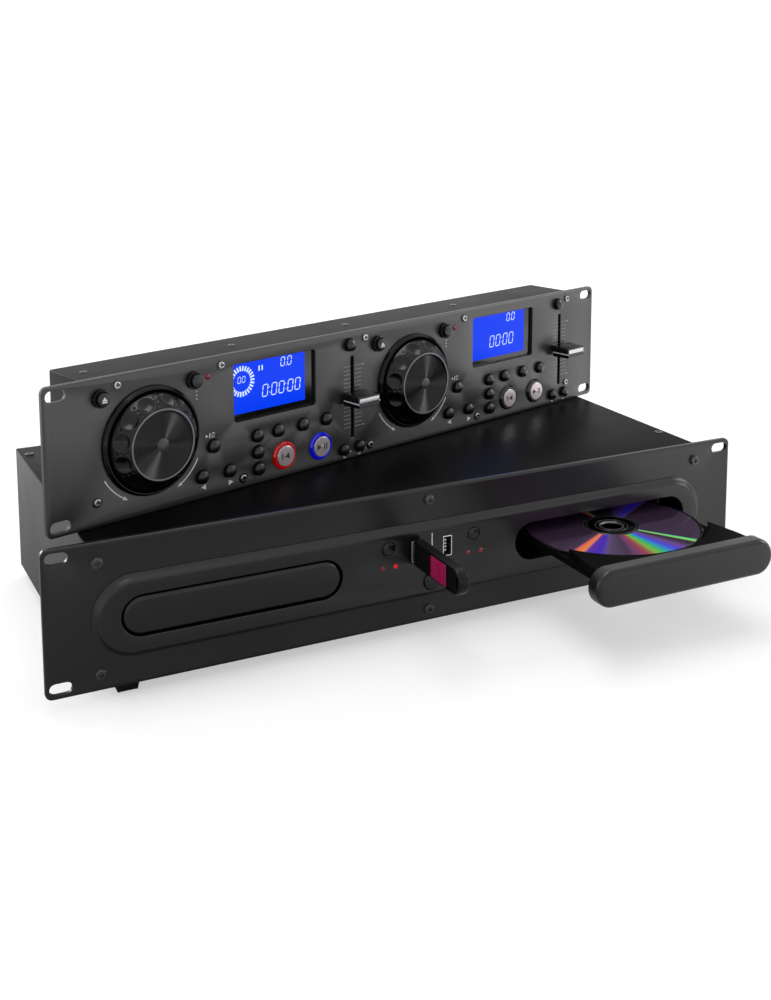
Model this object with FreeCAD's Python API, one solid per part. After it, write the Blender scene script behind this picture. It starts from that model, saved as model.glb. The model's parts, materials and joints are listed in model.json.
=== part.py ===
"""A two-deck disc player in two 19-inch rack units: the tray unit, and the controller standing on it.

Millimetres, +Z up, fronts face -Y. The player is drawn from the bottom centre of its panel's front
face. The controller is drawn in the same way from its own panel and is turned and set down on the
player's cover by seat_controller(). Every finished piece is then moved so that the origin lies under
the middle of the whole object.
"""
import FreeCAD, Part
import math
import os

V = FreeCAD.Vector
INTO_BOX = V(0, 1, 0)
UP = V(0, 0, 1)
SAME = 1e-6

# ---- shared rack sizes ----
PANEL_WIDTH = 482.6
PANEL_HEIGHT = 88.1
PANEL_THICK = 3.0
PANEL_CORNER = 4.0
SLOT_EDGE_X = 8.75
SLOT_EDGE_Z = 5.95
SLOT_SPACING_X = PANEL_WIDTH - 2 * SLOT_EDGE_X
SLOT_SPACING_Z = PANEL_HEIGHT - 2 * SLOT_EDGE_Z
SLOT_LENGTH = 13.0
SLOT_WIDTH = 6.8
SLOT_MIDDLE_Z = PANEL_HEIGHT / 2
SHEET = 1.2
RUN_GAP = 0.3
PAST = 1.0

# ---- buttons and what they press ----
SMALL_CAP_R = 4.1
BEND_CAP_R = 3.8
ROUND_CAP_R = 4.0
BIG_CAP_R = 6.8
HOLE_GAP = 0.35
SMALL_CAP_RISE = 3.3
PITCH_CAP_RISE = 4.0
ROUND_CAP_RISE = 5.0
BIG_CAP_RISE = 2.3
BUTTON_TRAVEL = 0.8
CAP_BACK = 9.4
SWITCH_SIZE = 6.0
SWITCH_HEIGHT = 3.5
BOARD_THICK = 1.6
SWITCH_FRONT = CAP_BACK + BUTTON_TRAVEL + RUN_GAP
BOARD_FRONT = SWITCH_FRONT + SWITCH_HEIGHT

# ---- controller: where each deck's pieces are, from the left deck ----
DECK_PITCH = 214.5
DECKS = {"left": 0.0, "right": DECK_PITCH}
SMALL_BUTTONS = (
    ("plus_ten", -127.4, 31.9),
    ("track_back", -136.2, 14.1),
    ("track_forward", -115.5, 13.5),
    ("time", -93.6, 31.7),
    ("single", -93.4, 20.8),
    ("program", -93.1, 9.8),
    ("loop_in", -77.0, 31.9),
    ("loop_out", -56.6, 31.9),
    ("reloop", -36.9, 31.9),
)
BEND_SPACING = 14.0
BEND_PLUS = (-7.6, 7.4)
BEND_BUTTONS = (
    ("bend_minus", BEND_PLUS[0] - BEND_SPACING, BEND_PLUS[1]),
    ("bend_plus", BEND_PLUS[0], BEND_PLUS[1]),
)
TOP_ROW_Z = PANEL_HEIGHT - 12.2
ROUND_BUTTONS = (("eject", -204.6, TOP_ROW_Z), ("jog_mode", -140.4, TOP_ROW_Z))
BIG_BUTTONS = (("cue", -72.4, 14.3), ("play", -42.0, 14.3))
PITCH_BUTTON = (-15.9, PANEL_HEIGHT - 9.2)
MODE_LAMP = (-130.4, PANEL_HEIGHT - 11.8)
MODE_LAMP_R = 1.9
MODE_LAMP_RISE = 1.0
JOG_AXIS = (-171.4, 44.5)
JOG_HOLE_R = 29.9
JOG_RING_R = 33.5
JOG_RING_RISE = 3.0
JOG_RING_CREST = 1.2
JOG_RING_DIP = 1.0
JOG_RUN_GAP = 0.5
JOG_DISC_R = 21.6
JOG_RIM_BULGE = 1.9
JOG_RISE = 13.5
JOG_BACK = 1.0
JOG_SHAFT_R = 3.0
ENCODER_SIZE = 16.0
ENCODER_HEIGHT = 4.5
LENS_R = 9.2
LENS_RISE = 1.8
WINDOW = (-111.0, -45.4, 43.1, PANEL_HEIGHT - 7.6)
LCD_SINK = 4.5
LCD_THICK = 3.5
LCD_MARGIN = 2.0
FADER_X = -13.55
FADER_SLOT = (14.5, PITCH_BUTTON[1] - 8.3)
FADER_SLOT_WIDTH = 2.9
KNOB_WIDTH = 19.1
KNOB_HEIGHT = 8.5
KNOB_Z = 42.9
KNOB_LIFT = 2.0
KNOB_RISE = 17.5
KNOB_TAPER = 1.6
STEM_WIDTH = 2.3
STEM_HEIGHT = 5.0
POT_WIDTH = 9.0
POT_HEIGHT = 6.5
HOUSING_SIDE_ROOM = 2.95
HOUSING_HALF = DECK_PITCH + BEND_PLUS[0] + BEND_CAP_R + HOLE_GAP + HOUSING_SIDE_ROOM
HOUSING_INSET = 0.8
HOUSING_TOP = PANEL_HEIGHT - HOUSING_INSET
HOUSING_BACK = 42.0
SIDE_SCREW_INSET = 5.0
SIDE_SCREW_X = HOUSING_HALF - SIDE_SCREW_INSET
SIDE_SCREW_Z = 15.0
TOP_SCREWS = (-193.6, -120.5, -2.2, 94.0, SIDE_SCREW_X)
TOP_SCREW_Z = PANEL_HEIGHT - 6.1
LOW_SCREWS = (-105.2, 2.1, 108.2)
LOW_SCREW_Z = 6.4
SMALL_SCREW_R = 3.0
SMALL_SCREW_RISE = 1.4
TAB_HALF = 4.5
SIDE_TAB_HALF = 3.0
LINK_SOCKET_R = 6.5
LINK_SOCKET_REACH = 2.0
LINK_SOCKET_Z = 44.0

# ---- controller: where it stands ----
STAND_X = -2.0
STAND_Y = 86.5
STAND_YAW = 16.5
STAND_GAP = 0.2

# ---- player ----
PAD_HALF = 214.5
PAD_Z = 41.8
PAD_HEIGHT = 49.6
PAD_RISE = 4.5
PAD_BEVEL = 3.2
TRAY_X = 130.0
TRAY_Z = 42.0
MOUTH_WIDTH = 136.8
MOUTH_HEIGHT = 25.1
MOUTH_GAP = 0.8
TRAY_FRONT_THICK = 10.0
TRAY_FRONT_EDGE = 1.5
SOURCE_BUTTON = (30.2, 54.0)
SOURCE_RISE = 4.9
POWER_BUTTON = (0.0, 28.1)
POWER_CAP_R = 5.6
POWER_RISE = 5.8
POWER_TRAVEL = 2.5
LAMPS = ((-34.5, 42.2), (-25.6, 42.2), (26.0, 42.2), (35.4, 42.2))
LAMP_R = 1.5
LAMP_RISE = 0.6
USB_X = 11.0
USB_Z = 49.4
USB_WIDTH = 6.8
USB_HEIGHT = 13.6
USB_WALL = 0.5
USB_DEEP = 17.0
USB_TONGUE = 1.6
CORNER_SCREW_INSET = 4.7
CORNER_SCREW_Z = (9.9, PANEL_HEIGHT - 12.1)
MIDDLE_SCREW_Z = (7.8, PANEL_HEIGHT - 8.1)
PLAYER_SCREW_R = 3.75
PLAYER_SCREW_RISE = 2.2
LOADER_HALF = 64.0
CHASSIS_SIDE_ROOM = 21.0
CHASSIS_HALF = TRAY_X + LOADER_HALF + CHASSIS_SIDE_ROOM
CHASSIS_BACK = 210.0
CHASSIS_FLOOR = 2.0
COVER_BELOW_EDGE = 1.7
COVER_TOP = PANEL_HEIGHT - COVER_BELOW_EDGE
COVER_FLANGE = 14.0
COVER_SCREW_RISE = 0.6
COVER_SCREW_INSET = 6.0
COVER_SCREW_REAR = 18.0
COVER_SCREW_Y = (39.0, CHASSIS_BACK - COVER_SCREW_REAR)
FOOT_SIDE_INSET = 21.5
FOOT_X = CHASSIS_HALF - FOOT_SIDE_INSET
FOOT_WIDTH = 15.0
FOOT_DRAFT = 1.5
FOOT_DROP = 8.5
FOOT_FRONT_Y = 11.5
FOOT_INSET = 20.0
JACK_R = 4.2
JACK_REACH = 9.0
JACK_Z = 50.0
JACK_X = (-150.0, -134.0, 60.0, 76.0)
LINK_X = (-108.0, 102.0)
LINK_Z = 50.0
INLET_X = 182.0
INLET_Z = 32.0
INLET_WIDTH = 28.0
INLET_HEIGHT = 21.0
INLET_WALL = 2.0
INLET_DEEP = 16.0
INLET_FLANGE = 2.0
INLET_STEP = 1.25
FRONT_BOARD_HALF = 56.0
FRONT_BOARD_Z = (12.0, 74.0)
MAIN_BOARD = (-60.0, 60.0, 146.0, 202.0)
STANDOFF = 6.0
TRANSFORMER = (-26.0, 26.0, 84.0, 130.0)
TRANSFORMER_HEIGHT = 40.0
TONGUE_SETBACK = 2.0
TONGUE_INSET = 1.5

# ---- trays, loaders and what they carry ----
TRAY_BOTTOM = 41.5
TRAY_FLOOR = 45.1
TRAY_TOP = 50.5
TRAY_LENGTH = 175.0
TRAY_HALF = 58.0
TRAY_EAR_HALF = 60.0
TRAY_WAIST_HALF = 55.0
EAR_TAPER = 1.0
EAR_TAPER_LENGTH = 25.0
DISC_SETBACK = 81.5
WELL_R = 63.5
SPINDLE_SLOT_HALF = 19.0
RIGHT_TRAY_OUT = 92.0
TRAY_REACH = 142.0
DISC_R = 60.0
DISC_HOLE_R = 7.5
DISC_THICK = 1.2
DISC_GAP = 0.3
RACK_X = -46.0
RACK_WIDTH = 5.0
RACK_DROP = 5.0
MODULE = 2.0
GEAR_TEETH = 14
PRESSURE_ANGLE = 20.0
TOOTH_ROOT = 1.25 * MODULE
TOOTH_TIP = MODULE
GEAR_TIP = 0.9 * MODULE
TOOTH_PLAY = 0.5
GEAR_BORE = 2.3
POST_R = 2.0
POST_SHOULDER = 2.0
GEAR_THICK = 4.0
GEAR_TOP_GAP = 0.5
RUNNER_HEIGHT = 3.0
RUNNER_WIDTH = 10.0
LOADER_BACK = 190.0
LOADER_FLOOR = 24.0
LOADER_WALL = 2.0
LOADER_FOOT = 10.0
LOADER_FOOT_INSET = 8.0
MOTOR_R = 12.0
MOTOR_HEIGHT = 10.0
SPINDLE_WIDTH = 3.0
TURNTABLE_R = 14.5
TURNTABLE_THICK = 3.0
TURNTABLE_GAP = 4.1
PICKUP = (24.0, 16.0, 8.0)
RAIL = 3.0

# ---- memory stick in the left socket ----
STICK_X = -10.8
STICK_Z = 49.6
STICK_WIDTH = 7.0
STICK_HEIGHT = 16.2
STICK_FRONT = -65.5
STICK_BACK = -6.5
STICK_ROUND = 7.4
STICK_PLUG = (4.6, 12.0)
STICK_PLUG_REACH = 11.7
STICK_PLUG_WALL = 0.4
STICK_KEY_HOLE = (9.0, 2.6)
STICK_KEY_INSET = 2.5
STICK_TONGUE = 0.8
STICK_TONGUE_SHORT = 0.5

# ---- origin: under the middle of the whole object ----
TRAY_BACK_CLOSED = -PAD_RISE + TRAY_FRONT_THICK
FRONT_REACH = -PAD_RISE - RIGHT_TRAY_OUT
REAR_REACH = CHASSIS_BACK + JACK_REACH
ORIGIN = V(0, (FRONT_REACH + REAR_REACH) / 2, CHASSIS_FLOOR - FOOT_DROP)


# ---- small makers ----
def box(x, y, z):
    """A block between the limits (low, high) given for each axis."""
    return Part.makeBox(x[1] - x[0], y[1] - y[0], z[1] - z[0], V(x[0], y[0], z[0]))


def centred(x, z, width, height, y):
    """A block centred on x and z, running from y[0] to y[1]."""
    return box((x - width / 2, x + width / 2), y, (z - height / 2, z + height / 2))


def rod(x, z, radius, y):
    """A round bar along Y, from y[0] to y[1]."""
    return Part.makeCylinder(radius, y[1] - y[0], V(x, y[0], z), INTO_BOX)


def post(x, y, radius, z):
    """A round bar along Z, from z[0] to z[1]."""
    return Part.makeCylinder(radius, z[1] - z[0], V(x, y, z[0]), UP)


def ring(x, z, outer, inner, y):
    """A flat ring about Y."""
    return rod(x, z, outer, y).cut(rod(x, z, inner, y))


def turned(x, z, profile, crown=None):
    """A solid turned about the Y direction through x, z, from (radius, y) points.

    With a crown point, the last two points of the profile are joined by an arc through it.
    """
    points = [V(x + r, y, z) for r, y in profile]
    edges = []
    for start, end in zip(points, points[1:] + points[:1]):
        edges.append(Part.LineSegment(start, end))
    if crown:
        edges[-2] = Part.Arc(points[-2], V(x + crown[0], crown[1], z), points[-1])
    wire = Part.Wire([edge.toShape() for edge in edges])
    return Part.Face(wire).revolve(V(x, 0, z), INTO_BOX, 360)


def outline(points):
    """A closed face from points in order."""
    return Part.Face(Part.makePolygon(points + points[:1]))


def stadium(x, z, width, height, y):
    """A bar with fully round ends, along Y from y[0] to y[1], width along X."""
    r = height / 2
    left = x - width / 2 + r
    right = x + width / 2 - r
    top, low = z + r, z - r
    edges = [
        Part.LineSegment(V(left, y[0], low), V(right, y[0], low)),
        Part.Arc(V(right, y[0], low), V(right + r, y[0], z), V(right, y[0], top)),
        Part.LineSegment(V(right, y[0], top), V(left, y[0], top)),
        Part.Arc(V(left, y[0], top), V(left - r, y[0], z), V(left, y[0], low)),
    ]
    wire = Part.Wire([e.toShape() for e in edges])
    return Part.Face(wire).extrude(V(0, y[1] - y[0], 0))


def edges_at_y(shape, y):
    """The edges that lie wholly in the plane at y."""
    found = []
    for edge in shape.Edges:
        bounds = edge.BoundBox
        if abs(bounds.YMin - y) < SAME and abs(bounds.YMax - y) < SAME:
            found.append(edge)
    return found


# ---- places ----
def keep_place(shape):
    return shape


def seat_controller(shape):
    """From the controller's own frame to where it stands on the player."""
    placed = shape.copy()
    turn = FreeCAD.Rotation(UP, STAND_YAW)
    placed.Placement = FreeCAD.Placement(V(STAND_X, STAND_Y, COVER_TOP + STAND_GAP), turn)
    return placed


def save(node, solids, place=keep_place):
    """Moves the node's solids to the object's origin and writes them."""
    moved = []
    for solid in solids:
        final = place(solid).copy()
        final.translate(-ORIGIN)
        moved.append(final)
    shape = moved[0] if len(moved) == 1 else Part.makeCompound(moved)
    shape.exportStep("parts/" + node + ".step")


def rack_panel():
    """The plate that both units have: rounded corners and four slots for rack screws."""
    half = PANEL_WIDTH / 2
    plate = box((-half, half), (0, PANEL_THICK), (0, PANEL_HEIGHT))
    corners = []
    for edge in plate.Edges:
        if abs(edge.BoundBox.YLength - PANEL_THICK) < SAME:
            corners.append(edge)
    plate = plate.makeFillet(PANEL_CORNER, corners)
    slots = []
    for side in (-1, 1):
        for level in (-1, 1):
            x = side * SLOT_SPACING_X / 2
            z = SLOT_MIDDLE_Z + level * SLOT_SPACING_Z / 2
            slots.append(stadium(x, z, SLOT_LENGTH, SLOT_WIDTH, (-PAST, PANEL_THICK + PAST)))
    return plate, slots


# ---- controller ----
def controller_buttons():
    """Each push button of one deck: name, x, z, cap radius, rise."""
    rows = [(*row, SMALL_CAP_R, SMALL_CAP_RISE) for row in SMALL_BUTTONS]
    rows += [(*row, BEND_CAP_R, SMALL_CAP_RISE) for row in BEND_BUTTONS]
    rows += [(*row, ROUND_CAP_R, ROUND_CAP_RISE) for row in ROUND_BUTTONS]
    rows += [(*row, BIG_CAP_R, BIG_CAP_RISE) for row in BIG_BUTTONS]
    rows.append(("pitch", *PITCH_BUTTON, SMALL_CAP_R, PITCH_CAP_RISE))
    return rows


def make_controller_panel():
    plate, cuts = rack_panel()
    through = (-PAST, PANEL_THICK + PAST)
    for shift in DECKS.values():
        for _, x, z, radius, _ in controller_buttons():
            cuts.append(rod(x + shift, z, radius + HOLE_GAP, through))
        cuts.append(rod(MODE_LAMP[0] + shift, MODE_LAMP[1], MODE_LAMP_R, through))
        cuts.append(rod(JOG_AXIS[0] + shift, JOG_AXIS[1], JOG_HOLE_R, through))
        cuts.append(box((WINDOW[0] + shift, WINDOW[1] + shift), through, WINDOW[2:]))
        slot_left = FADER_X + shift - FADER_SLOT_WIDTH / 2
        cuts.append(box((slot_left, slot_left + FADER_SLOT_WIDTH), through, FADER_SLOT))
    return plate.cut(cuts)


def make_controller_housing():
    """A wrapped sheet with two end plates, open at the front, and a tab behind each panel screw."""
    half, inner = HOUSING_HALF, HOUSING_HALF - SHEET
    low, high = HOUSING_INSET + SHEET, HOUSING_TOP - SHEET
    depth = (PANEL_THICK, HOUSING_BACK - SHEET)
    wrap = box((-half, half), (PANEL_THICK, HOUSING_BACK), (HOUSING_INSET, HOUSING_TOP))
    wrap = wrap.cut(box((-half - PAST, half + PAST), (PANEL_THICK - PAST, depth[1]), (low, high)))
    sockets = []
    for shift in DECKS.values():
        through = (HOUSING_BACK - SHEET - PAST, HOUSING_BACK + PAST)
        sockets.append(rod(JOG_AXIS[0] + shift, LINK_SOCKET_Z, LINK_SOCKET_R + HOLE_GAP, through))
    solids = [wrap.cut(sockets)]
    for limits in ((-half, -inner), (inner, half)):
        solids.append(box(limits, depth, (low, high)))
    tab_depth = (PANEL_THICK, PANEL_THICK + SHEET)
    for x in TOP_SCREWS:
        tab_x = (x - TAB_HALF, min(x + TAB_HALF, inner))
        solids.append(box(tab_x, tab_depth, (TOP_SCREW_Z - TAB_HALF, high)))
    for x in LOW_SCREWS:
        solids.append(box((x - TAB_HALF, x + TAB_HALF), tab_depth, (low, LOW_SCREW_Z + TAB_HALF)))
    tab_z = (SIDE_SCREW_Z - SIDE_TAB_HALF, SIDE_SCREW_Z + SIDE_TAB_HALF)
    for limits in ((-inner, -SIDE_SCREW_X + TAB_HALF), (SIDE_SCREW_X - TAB_HALF, inner)):
        solids.append(box(limits, tab_depth, tab_z))
    return solids


def make_control_board():
    """The board with a switch behind each button, the displays, sliders, encoders and link sockets."""
    half = HOUSING_HALF - 3 * SHEET
    board_back = BOARD_FRONT + BOARD_THICK
    low, high = HOUSING_INSET + 2 * SHEET, HOUSING_TOP - 2 * SHEET
    pieces = [box((-half, half), (BOARD_FRONT, board_back), (low, high))]
    for shift in DECKS.values():
        for _, x, z, _, _ in controller_buttons():
            pieces.append(centred(x + shift, z, SWITCH_SIZE, SWITCH_SIZE, (SWITCH_FRONT, BOARD_FRONT)))
        glass_x = (WINDOW[0] + shift - LCD_MARGIN, WINDOW[1] + shift + LCD_MARGIN)
        glass_z = (WINDOW[2] - LCD_MARGIN, WINDOW[3] + LCD_MARGIN)
        glass_back = LCD_SINK + LCD_THICK
        pieces.append(box(glass_x, (LCD_SINK, glass_back), glass_z))
        backlight_x = (WINDOW[0] + shift, WINDOW[1] + shift)
        pieces.append(box(backlight_x, (glass_back, BOARD_FRONT), WINDOW[2:]))
        x = FADER_X + shift
        pot_front = BOARD_FRONT - POT_HEIGHT
        pieces.append(box((x - POT_WIDTH / 2, x + POT_WIDTH / 2), (pot_front, BOARD_FRONT), FADER_SLOT))
        x = JOG_AXIS[0] + shift
        encoder_y = (BOARD_FRONT - ENCODER_HEIGHT, BOARD_FRONT)
        pieces.append(centred(x, JOG_AXIS[1], ENCODER_SIZE, ENCODER_SIZE, encoder_y))
        pieces.append(rod(x, LINK_SOCKET_Z, LINK_SOCKET_R, (board_back, HOUSING_BACK + LINK_SOCKET_REACH)))
    return pieces


def make_controller_screws():
    places = [(x, TOP_SCREW_Z) for x in TOP_SCREWS] + [(x, LOW_SCREW_Z) for x in LOW_SCREWS]
    places += [(-SIDE_SCREW_X, SIDE_SCREW_Z), (SIDE_SCREW_X, SIDE_SCREW_Z)]
    return [rod(x, z, SMALL_SCREW_R, (-SMALL_SCREW_RISE, 0)) for x, z in places]


def make_jog_bezels():
    """The dished ring round each jog wheel, flat on the panel."""
    rings = []
    for shift in DECKS.values():
        profile = [
            (JOG_HOLE_R, 0),
            (JOG_RING_R, 0),
            (JOG_RING_R - JOG_RING_CREST, -JOG_RING_RISE),
            (JOG_HOLE_R, -JOG_RING_RISE + JOG_RING_DIP),
        ]
        rings.append(turned(JOG_AXIS[0] + shift, JOG_AXIS[1], profile))
    return rings


def make_controller_lamps():
    """The lit rings round cue and play, and the jog-mode lamps."""
    lamps = []
    for shift in DECKS.values():
        for _, x, z in BIG_BUTTONS:
            lamps.append(ring(x + shift, z, LENS_R, BIG_CAP_R + HOLE_GAP, (-LENS_RISE, 0)))
        lamps.append(rod(MODE_LAMP[0] + shift, MODE_LAMP[1], MODE_LAMP_R, (-MODE_LAMP_RISE, BOARD_FRONT)))
    return lamps


def make_jog_wheel(shift):
    """A thick wheel: a skirt inside the bezel, a crowned finger rim and the raised centre disc."""
    rim = JOG_HOLE_R - JOG_RUN_GAP
    encoder_front = BOARD_FRONT - ENCODER_HEIGHT
    profile = [
        (0, -JOG_RISE),
        (0, encoder_front - RUN_GAP),
        (JOG_SHAFT_R, encoder_front - RUN_GAP),
        (JOG_SHAFT_R, JOG_BACK),
        (rim, JOG_BACK),
        (rim, -JOG_RING_RISE),
        (JOG_DISC_R, -JOG_RISE),
    ]
    crown = ((rim + JOG_DISC_R) / 2 + JOG_RIM_BULGE, -(JOG_RING_RISE + JOG_RISE) / 2 - JOG_RIM_BULGE)
    return turned(JOG_AXIS[0] + shift, JOG_AXIS[1], profile, crown)


def make_pitch_knob(shift):
    """A wedge-sided slider cap on a flat stem that reaches the slide control."""
    x = FADER_X + shift
    half_w, half_h = KNOB_WIDTH / 2, KNOB_HEIGHT / 2
    face = outline([
        V(x - half_w, -KNOB_LIFT, KNOB_Z - half_h),
        V(x - half_w, -KNOB_RISE, KNOB_Z - half_h + KNOB_TAPER),
        V(x - half_w, -KNOB_RISE, KNOB_Z + half_h - KNOB_TAPER),
        V(x - half_w, -KNOB_LIFT, KNOB_Z + half_h),
    ])
    cap = face.extrude(V(KNOB_WIDTH, 0, 0))
    stem_end = BOARD_FRONT - POT_HEIGHT - RUN_GAP
    stem = centred(x, KNOB_Z, STEM_WIDTH, STEM_HEIGHT, (-KNOB_LIFT, stem_end))
    return cap.fuse(stem).removeSplitter()


# ---- player ----
def make_player_panel():
    """The plate with its raised, round-ended pad, the two tray mouths and the small holes."""
    plate, cuts = rack_panel()
    pad = stadium(0, PAD_Z, 2 * PAD_HALF, PAD_HEIGHT, (-PAD_RISE, PANEL_THICK))
    pad = pad.makeChamfer(PAD_BEVEL, edges_at_y(pad, -PAD_RISE))
    body = plate.fuse(pad).removeSplitter()
    through = (-PAD_RISE - PAST, PANEL_THICK + PAST)
    for side in (-1, 1):
        cuts.append(stadium(side * TRAY_X, TRAY_Z, MOUTH_WIDTH, MOUTH_HEIGHT, through))
        cuts.append(rod(side * SOURCE_BUTTON[0], SOURCE_BUTTON[1], SMALL_CAP_R + HOLE_GAP, through))
        cuts.append(centred(side * USB_X, USB_Z, USB_WIDTH, USB_HEIGHT, through))
    cuts.append(rod(POWER_BUTTON[0], POWER_BUTTON[1], POWER_CAP_R + HOLE_GAP, through))
    return body.cut(cuts)


def make_player_base():
    """The pan: floor, sides and back, folded in at the top where the cover screws down."""
    y = (PANEL_THICK, CHASSIS_BACK)
    top = COVER_TOP - SHEET
    inner = CHASSIS_HALF - SHEET
    pan = box((-CHASSIS_HALF, CHASSIS_HALF), y, (CHASSIS_FLOOR, top))
    front = PANEL_THICK - PAST
    hollow_y = (front, CHASSIS_BACK - SHEET)
    pan = pan.cut(box((-inner, inner), hollow_y, (CHASSIS_FLOOR + SHEET, top - SHEET)))
    open_half = CHASSIS_HALF - COVER_FLANGE
    open_y = (front, CHASSIS_BACK - COVER_FLANGE)
    pan = pan.cut(box((-open_half, open_half), open_y, (top - 2 * SHEET, top + PAST)))
    hole_y = (CHASSIS_BACK - SHEET - PAST, CHASSIS_BACK + PAST)
    width, height = INLET_WIDTH - INLET_STEP, INLET_HEIGHT - INLET_STEP
    return pan.cut(centred(INLET_X, INLET_Z, width, height, hole_y))


def make_player_cover():
    """The flat lid over the pan."""
    return box((-CHASSIS_HALF, CHASSIS_HALF), (PANEL_THICK, CHASSIS_BACK), (COVER_TOP - SHEET, COVER_TOP))


def make_player_screws():
    """The panel's six screws and the lid's four."""
    corner_x = CHASSIS_HALF - CORNER_SCREW_INSET
    places = [(side * corner_x, z) for side in (-1, 1) for z in CORNER_SCREW_Z]
    places += [(0, z) for z in MIDDLE_SCREW_Z]
    heads = [rod(x, z, PLAYER_SCREW_R, (-PLAYER_SCREW_RISE, 0)) for x, z in places]
    for side in (-1, 1):
        for y in COVER_SCREW_Y:
            x = side * (CHASSIS_HALF - COVER_SCREW_INSET)
            heads.append(post(x, y, SMALL_SCREW_R, (COVER_TOP, COVER_TOP + COVER_SCREW_RISE)))
    return heads


def make_feet():
    """Four square rubber feet that taper downwards."""
    feet = []
    for x in (-FOOT_X, FOOT_X):
        for y in (FOOT_FRONT_Y, CHASSIS_BACK - FOOT_INSET):
            sections = []
            for half, z in ((FOOT_WIDTH / 2, 0), (FOOT_WIDTH / 2 - FOOT_DRAFT, -FOOT_DROP)):
                corners = [(-half, -half), (half, -half), (half, half), (-half, half)]
                points = [V(x + a, y + b, CHASSIS_FLOOR + z) for a, b in corners]
                sections.append(Part.makePolygon(points + points[:1]))
            feet.append(Part.makeLoft(sections, True, True))
    return feet


def make_stick_socket(side):
    """An upright sheet-metal socket with its contact tongue, from the pad's face to the front board."""
    x = side * USB_X
    shell = centred(x, USB_Z, USB_WIDTH, USB_HEIGHT, (-PAD_RISE, BOARD_FRONT))
    inside_y = (-PAD_RISE - PAST, -PAD_RISE + USB_DEEP)
    inside = centred(x, USB_Z, USB_WIDTH - 2 * USB_WALL, USB_HEIGHT - 2 * USB_WALL, inside_y)
    tongue_y = (-PAD_RISE + TONGUE_SETBACK, -PAD_RISE + USB_DEEP)
    tongue_left = x - USB_WIDTH / 2 + USB_WALL + STICK_PLUG_WALL + 2 * RUN_GAP
    tongue_height = STICK_PLUG[1] - 2 * TONGUE_INSET
    tongue = centred(tongue_left + USB_TONGUE / 2, USB_Z, USB_TONGUE, tongue_height, tongue_y)
    return shell.cut(inside).fuse(tongue).removeSplitter()


def make_mains_inlet():
    """A flanged inlet whose well takes the lead's plug."""
    flange_y = (CHASSIS_BACK, CHASSIS_BACK + INLET_FLANGE)
    flange = centred(INLET_X, INLET_Z, INLET_WIDTH, INLET_HEIGHT, flange_y)
    neck_width, neck_height = INLET_WIDTH - 2 * INLET_STEP, INLET_HEIGHT - 2 * INLET_STEP
    neck = centred(INLET_X, INLET_Z, neck_width, neck_height, (CHASSIS_BACK - INLET_DEEP, CHASSIS_BACK))
    well_y = (CHASSIS_BACK - INLET_DEEP + INLET_WALL, flange_y[1] + PAST)
    well = centred(INLET_X, INLET_Z, neck_width - 2 * INLET_WALL, neck_height - 2 * INLET_WALL, well_y)
    return flange.fuse(neck).removeSplitter().cut(well)


def make_player_board():
    """Front board with switches, lamps and sockets; main board, transformer and rear sockets."""
    half = FRONT_BOARD_HALF
    pieces = [box((-half, half), (BOARD_FRONT, BOARD_FRONT + BOARD_THICK), FRONT_BOARD_Z)]
    for side in (-1, 1):
        x, z = side * SOURCE_BUTTON[0], SOURCE_BUTTON[1]
        pieces.append(centred(x, z, SWITCH_SIZE, SWITCH_SIZE, (SWITCH_FRONT, BOARD_FRONT)))
        pieces.append(make_stick_socket(side))
    switch_y = (CAP_BACK + POWER_TRAVEL + RUN_GAP, BOARD_FRONT)
    pieces.append(centred(*POWER_BUTTON, 2 * SWITCH_SIZE, 2 * SWITCH_SIZE, switch_y))
    for x, z in LAMPS:
        pieces.append(rod(x, z, LAMP_R, (-PAD_RISE - LAMP_RISE, -PAD_RISE)))
    floor = CHASSIS_FLOOR + SHEET
    board_z = (floor + STANDOFF, floor + STANDOFF + BOARD_THICK)
    board_x, board_y = MAIN_BOARD[:2], MAIN_BOARD[2:]
    pieces.append(box(board_x, board_y, board_z))
    for x in (board_x[0] + STANDOFF, board_x[1] - STANDOFF):
        for y in (board_y[0] + STANDOFF, board_y[1] - STANDOFF):
            pieces.append(centred_post(x, y, STANDOFF, (floor, board_z[0])))
    pieces.append(box(TRANSFORMER[:2], TRANSFORMER[2:], (floor, floor + TRANSFORMER_HEIGHT)))
    for x in JACK_X:
        pieces.append(rod(x, JACK_Z, JACK_R, (CHASSIS_BACK, CHASSIS_BACK + JACK_REACH)))
    for x in LINK_X:
        pieces.append(rod(x, LINK_Z, LINK_SOCKET_R, (CHASSIS_BACK, CHASSIS_BACK + LINK_SOCKET_REACH)))
    pieces.append(make_mains_inlet())
    return pieces


def centred_post(x, y, width, z):
    """A square post along Z."""
    return box((x - width / 2, x + width / 2), (y - width / 2, y + width / 2), z)


# ---- trays and loaders ----
def gear_place():
    """The loading gear's axis, from the tray's centre line: beside the rack, near the mouth."""
    pitch_r = MODULE * GEAR_TEETH / 2
    x = RACK_X + RACK_WIDTH / 2 + pitch_r
    y = PANEL_THICK + GEAR_TEETH * MODULE / 2 + 3 * MODULE
    return x, y, pitch_r


def tooth_half_width(height):
    """Half the width of a rack tooth at a height above the pitch line, with play."""
    slope = math.tan(math.radians(PRESSURE_ANGLE))
    return (math.pi * MODULE / 2 - TOOTH_PLAY) / 2 - height * slope


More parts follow.
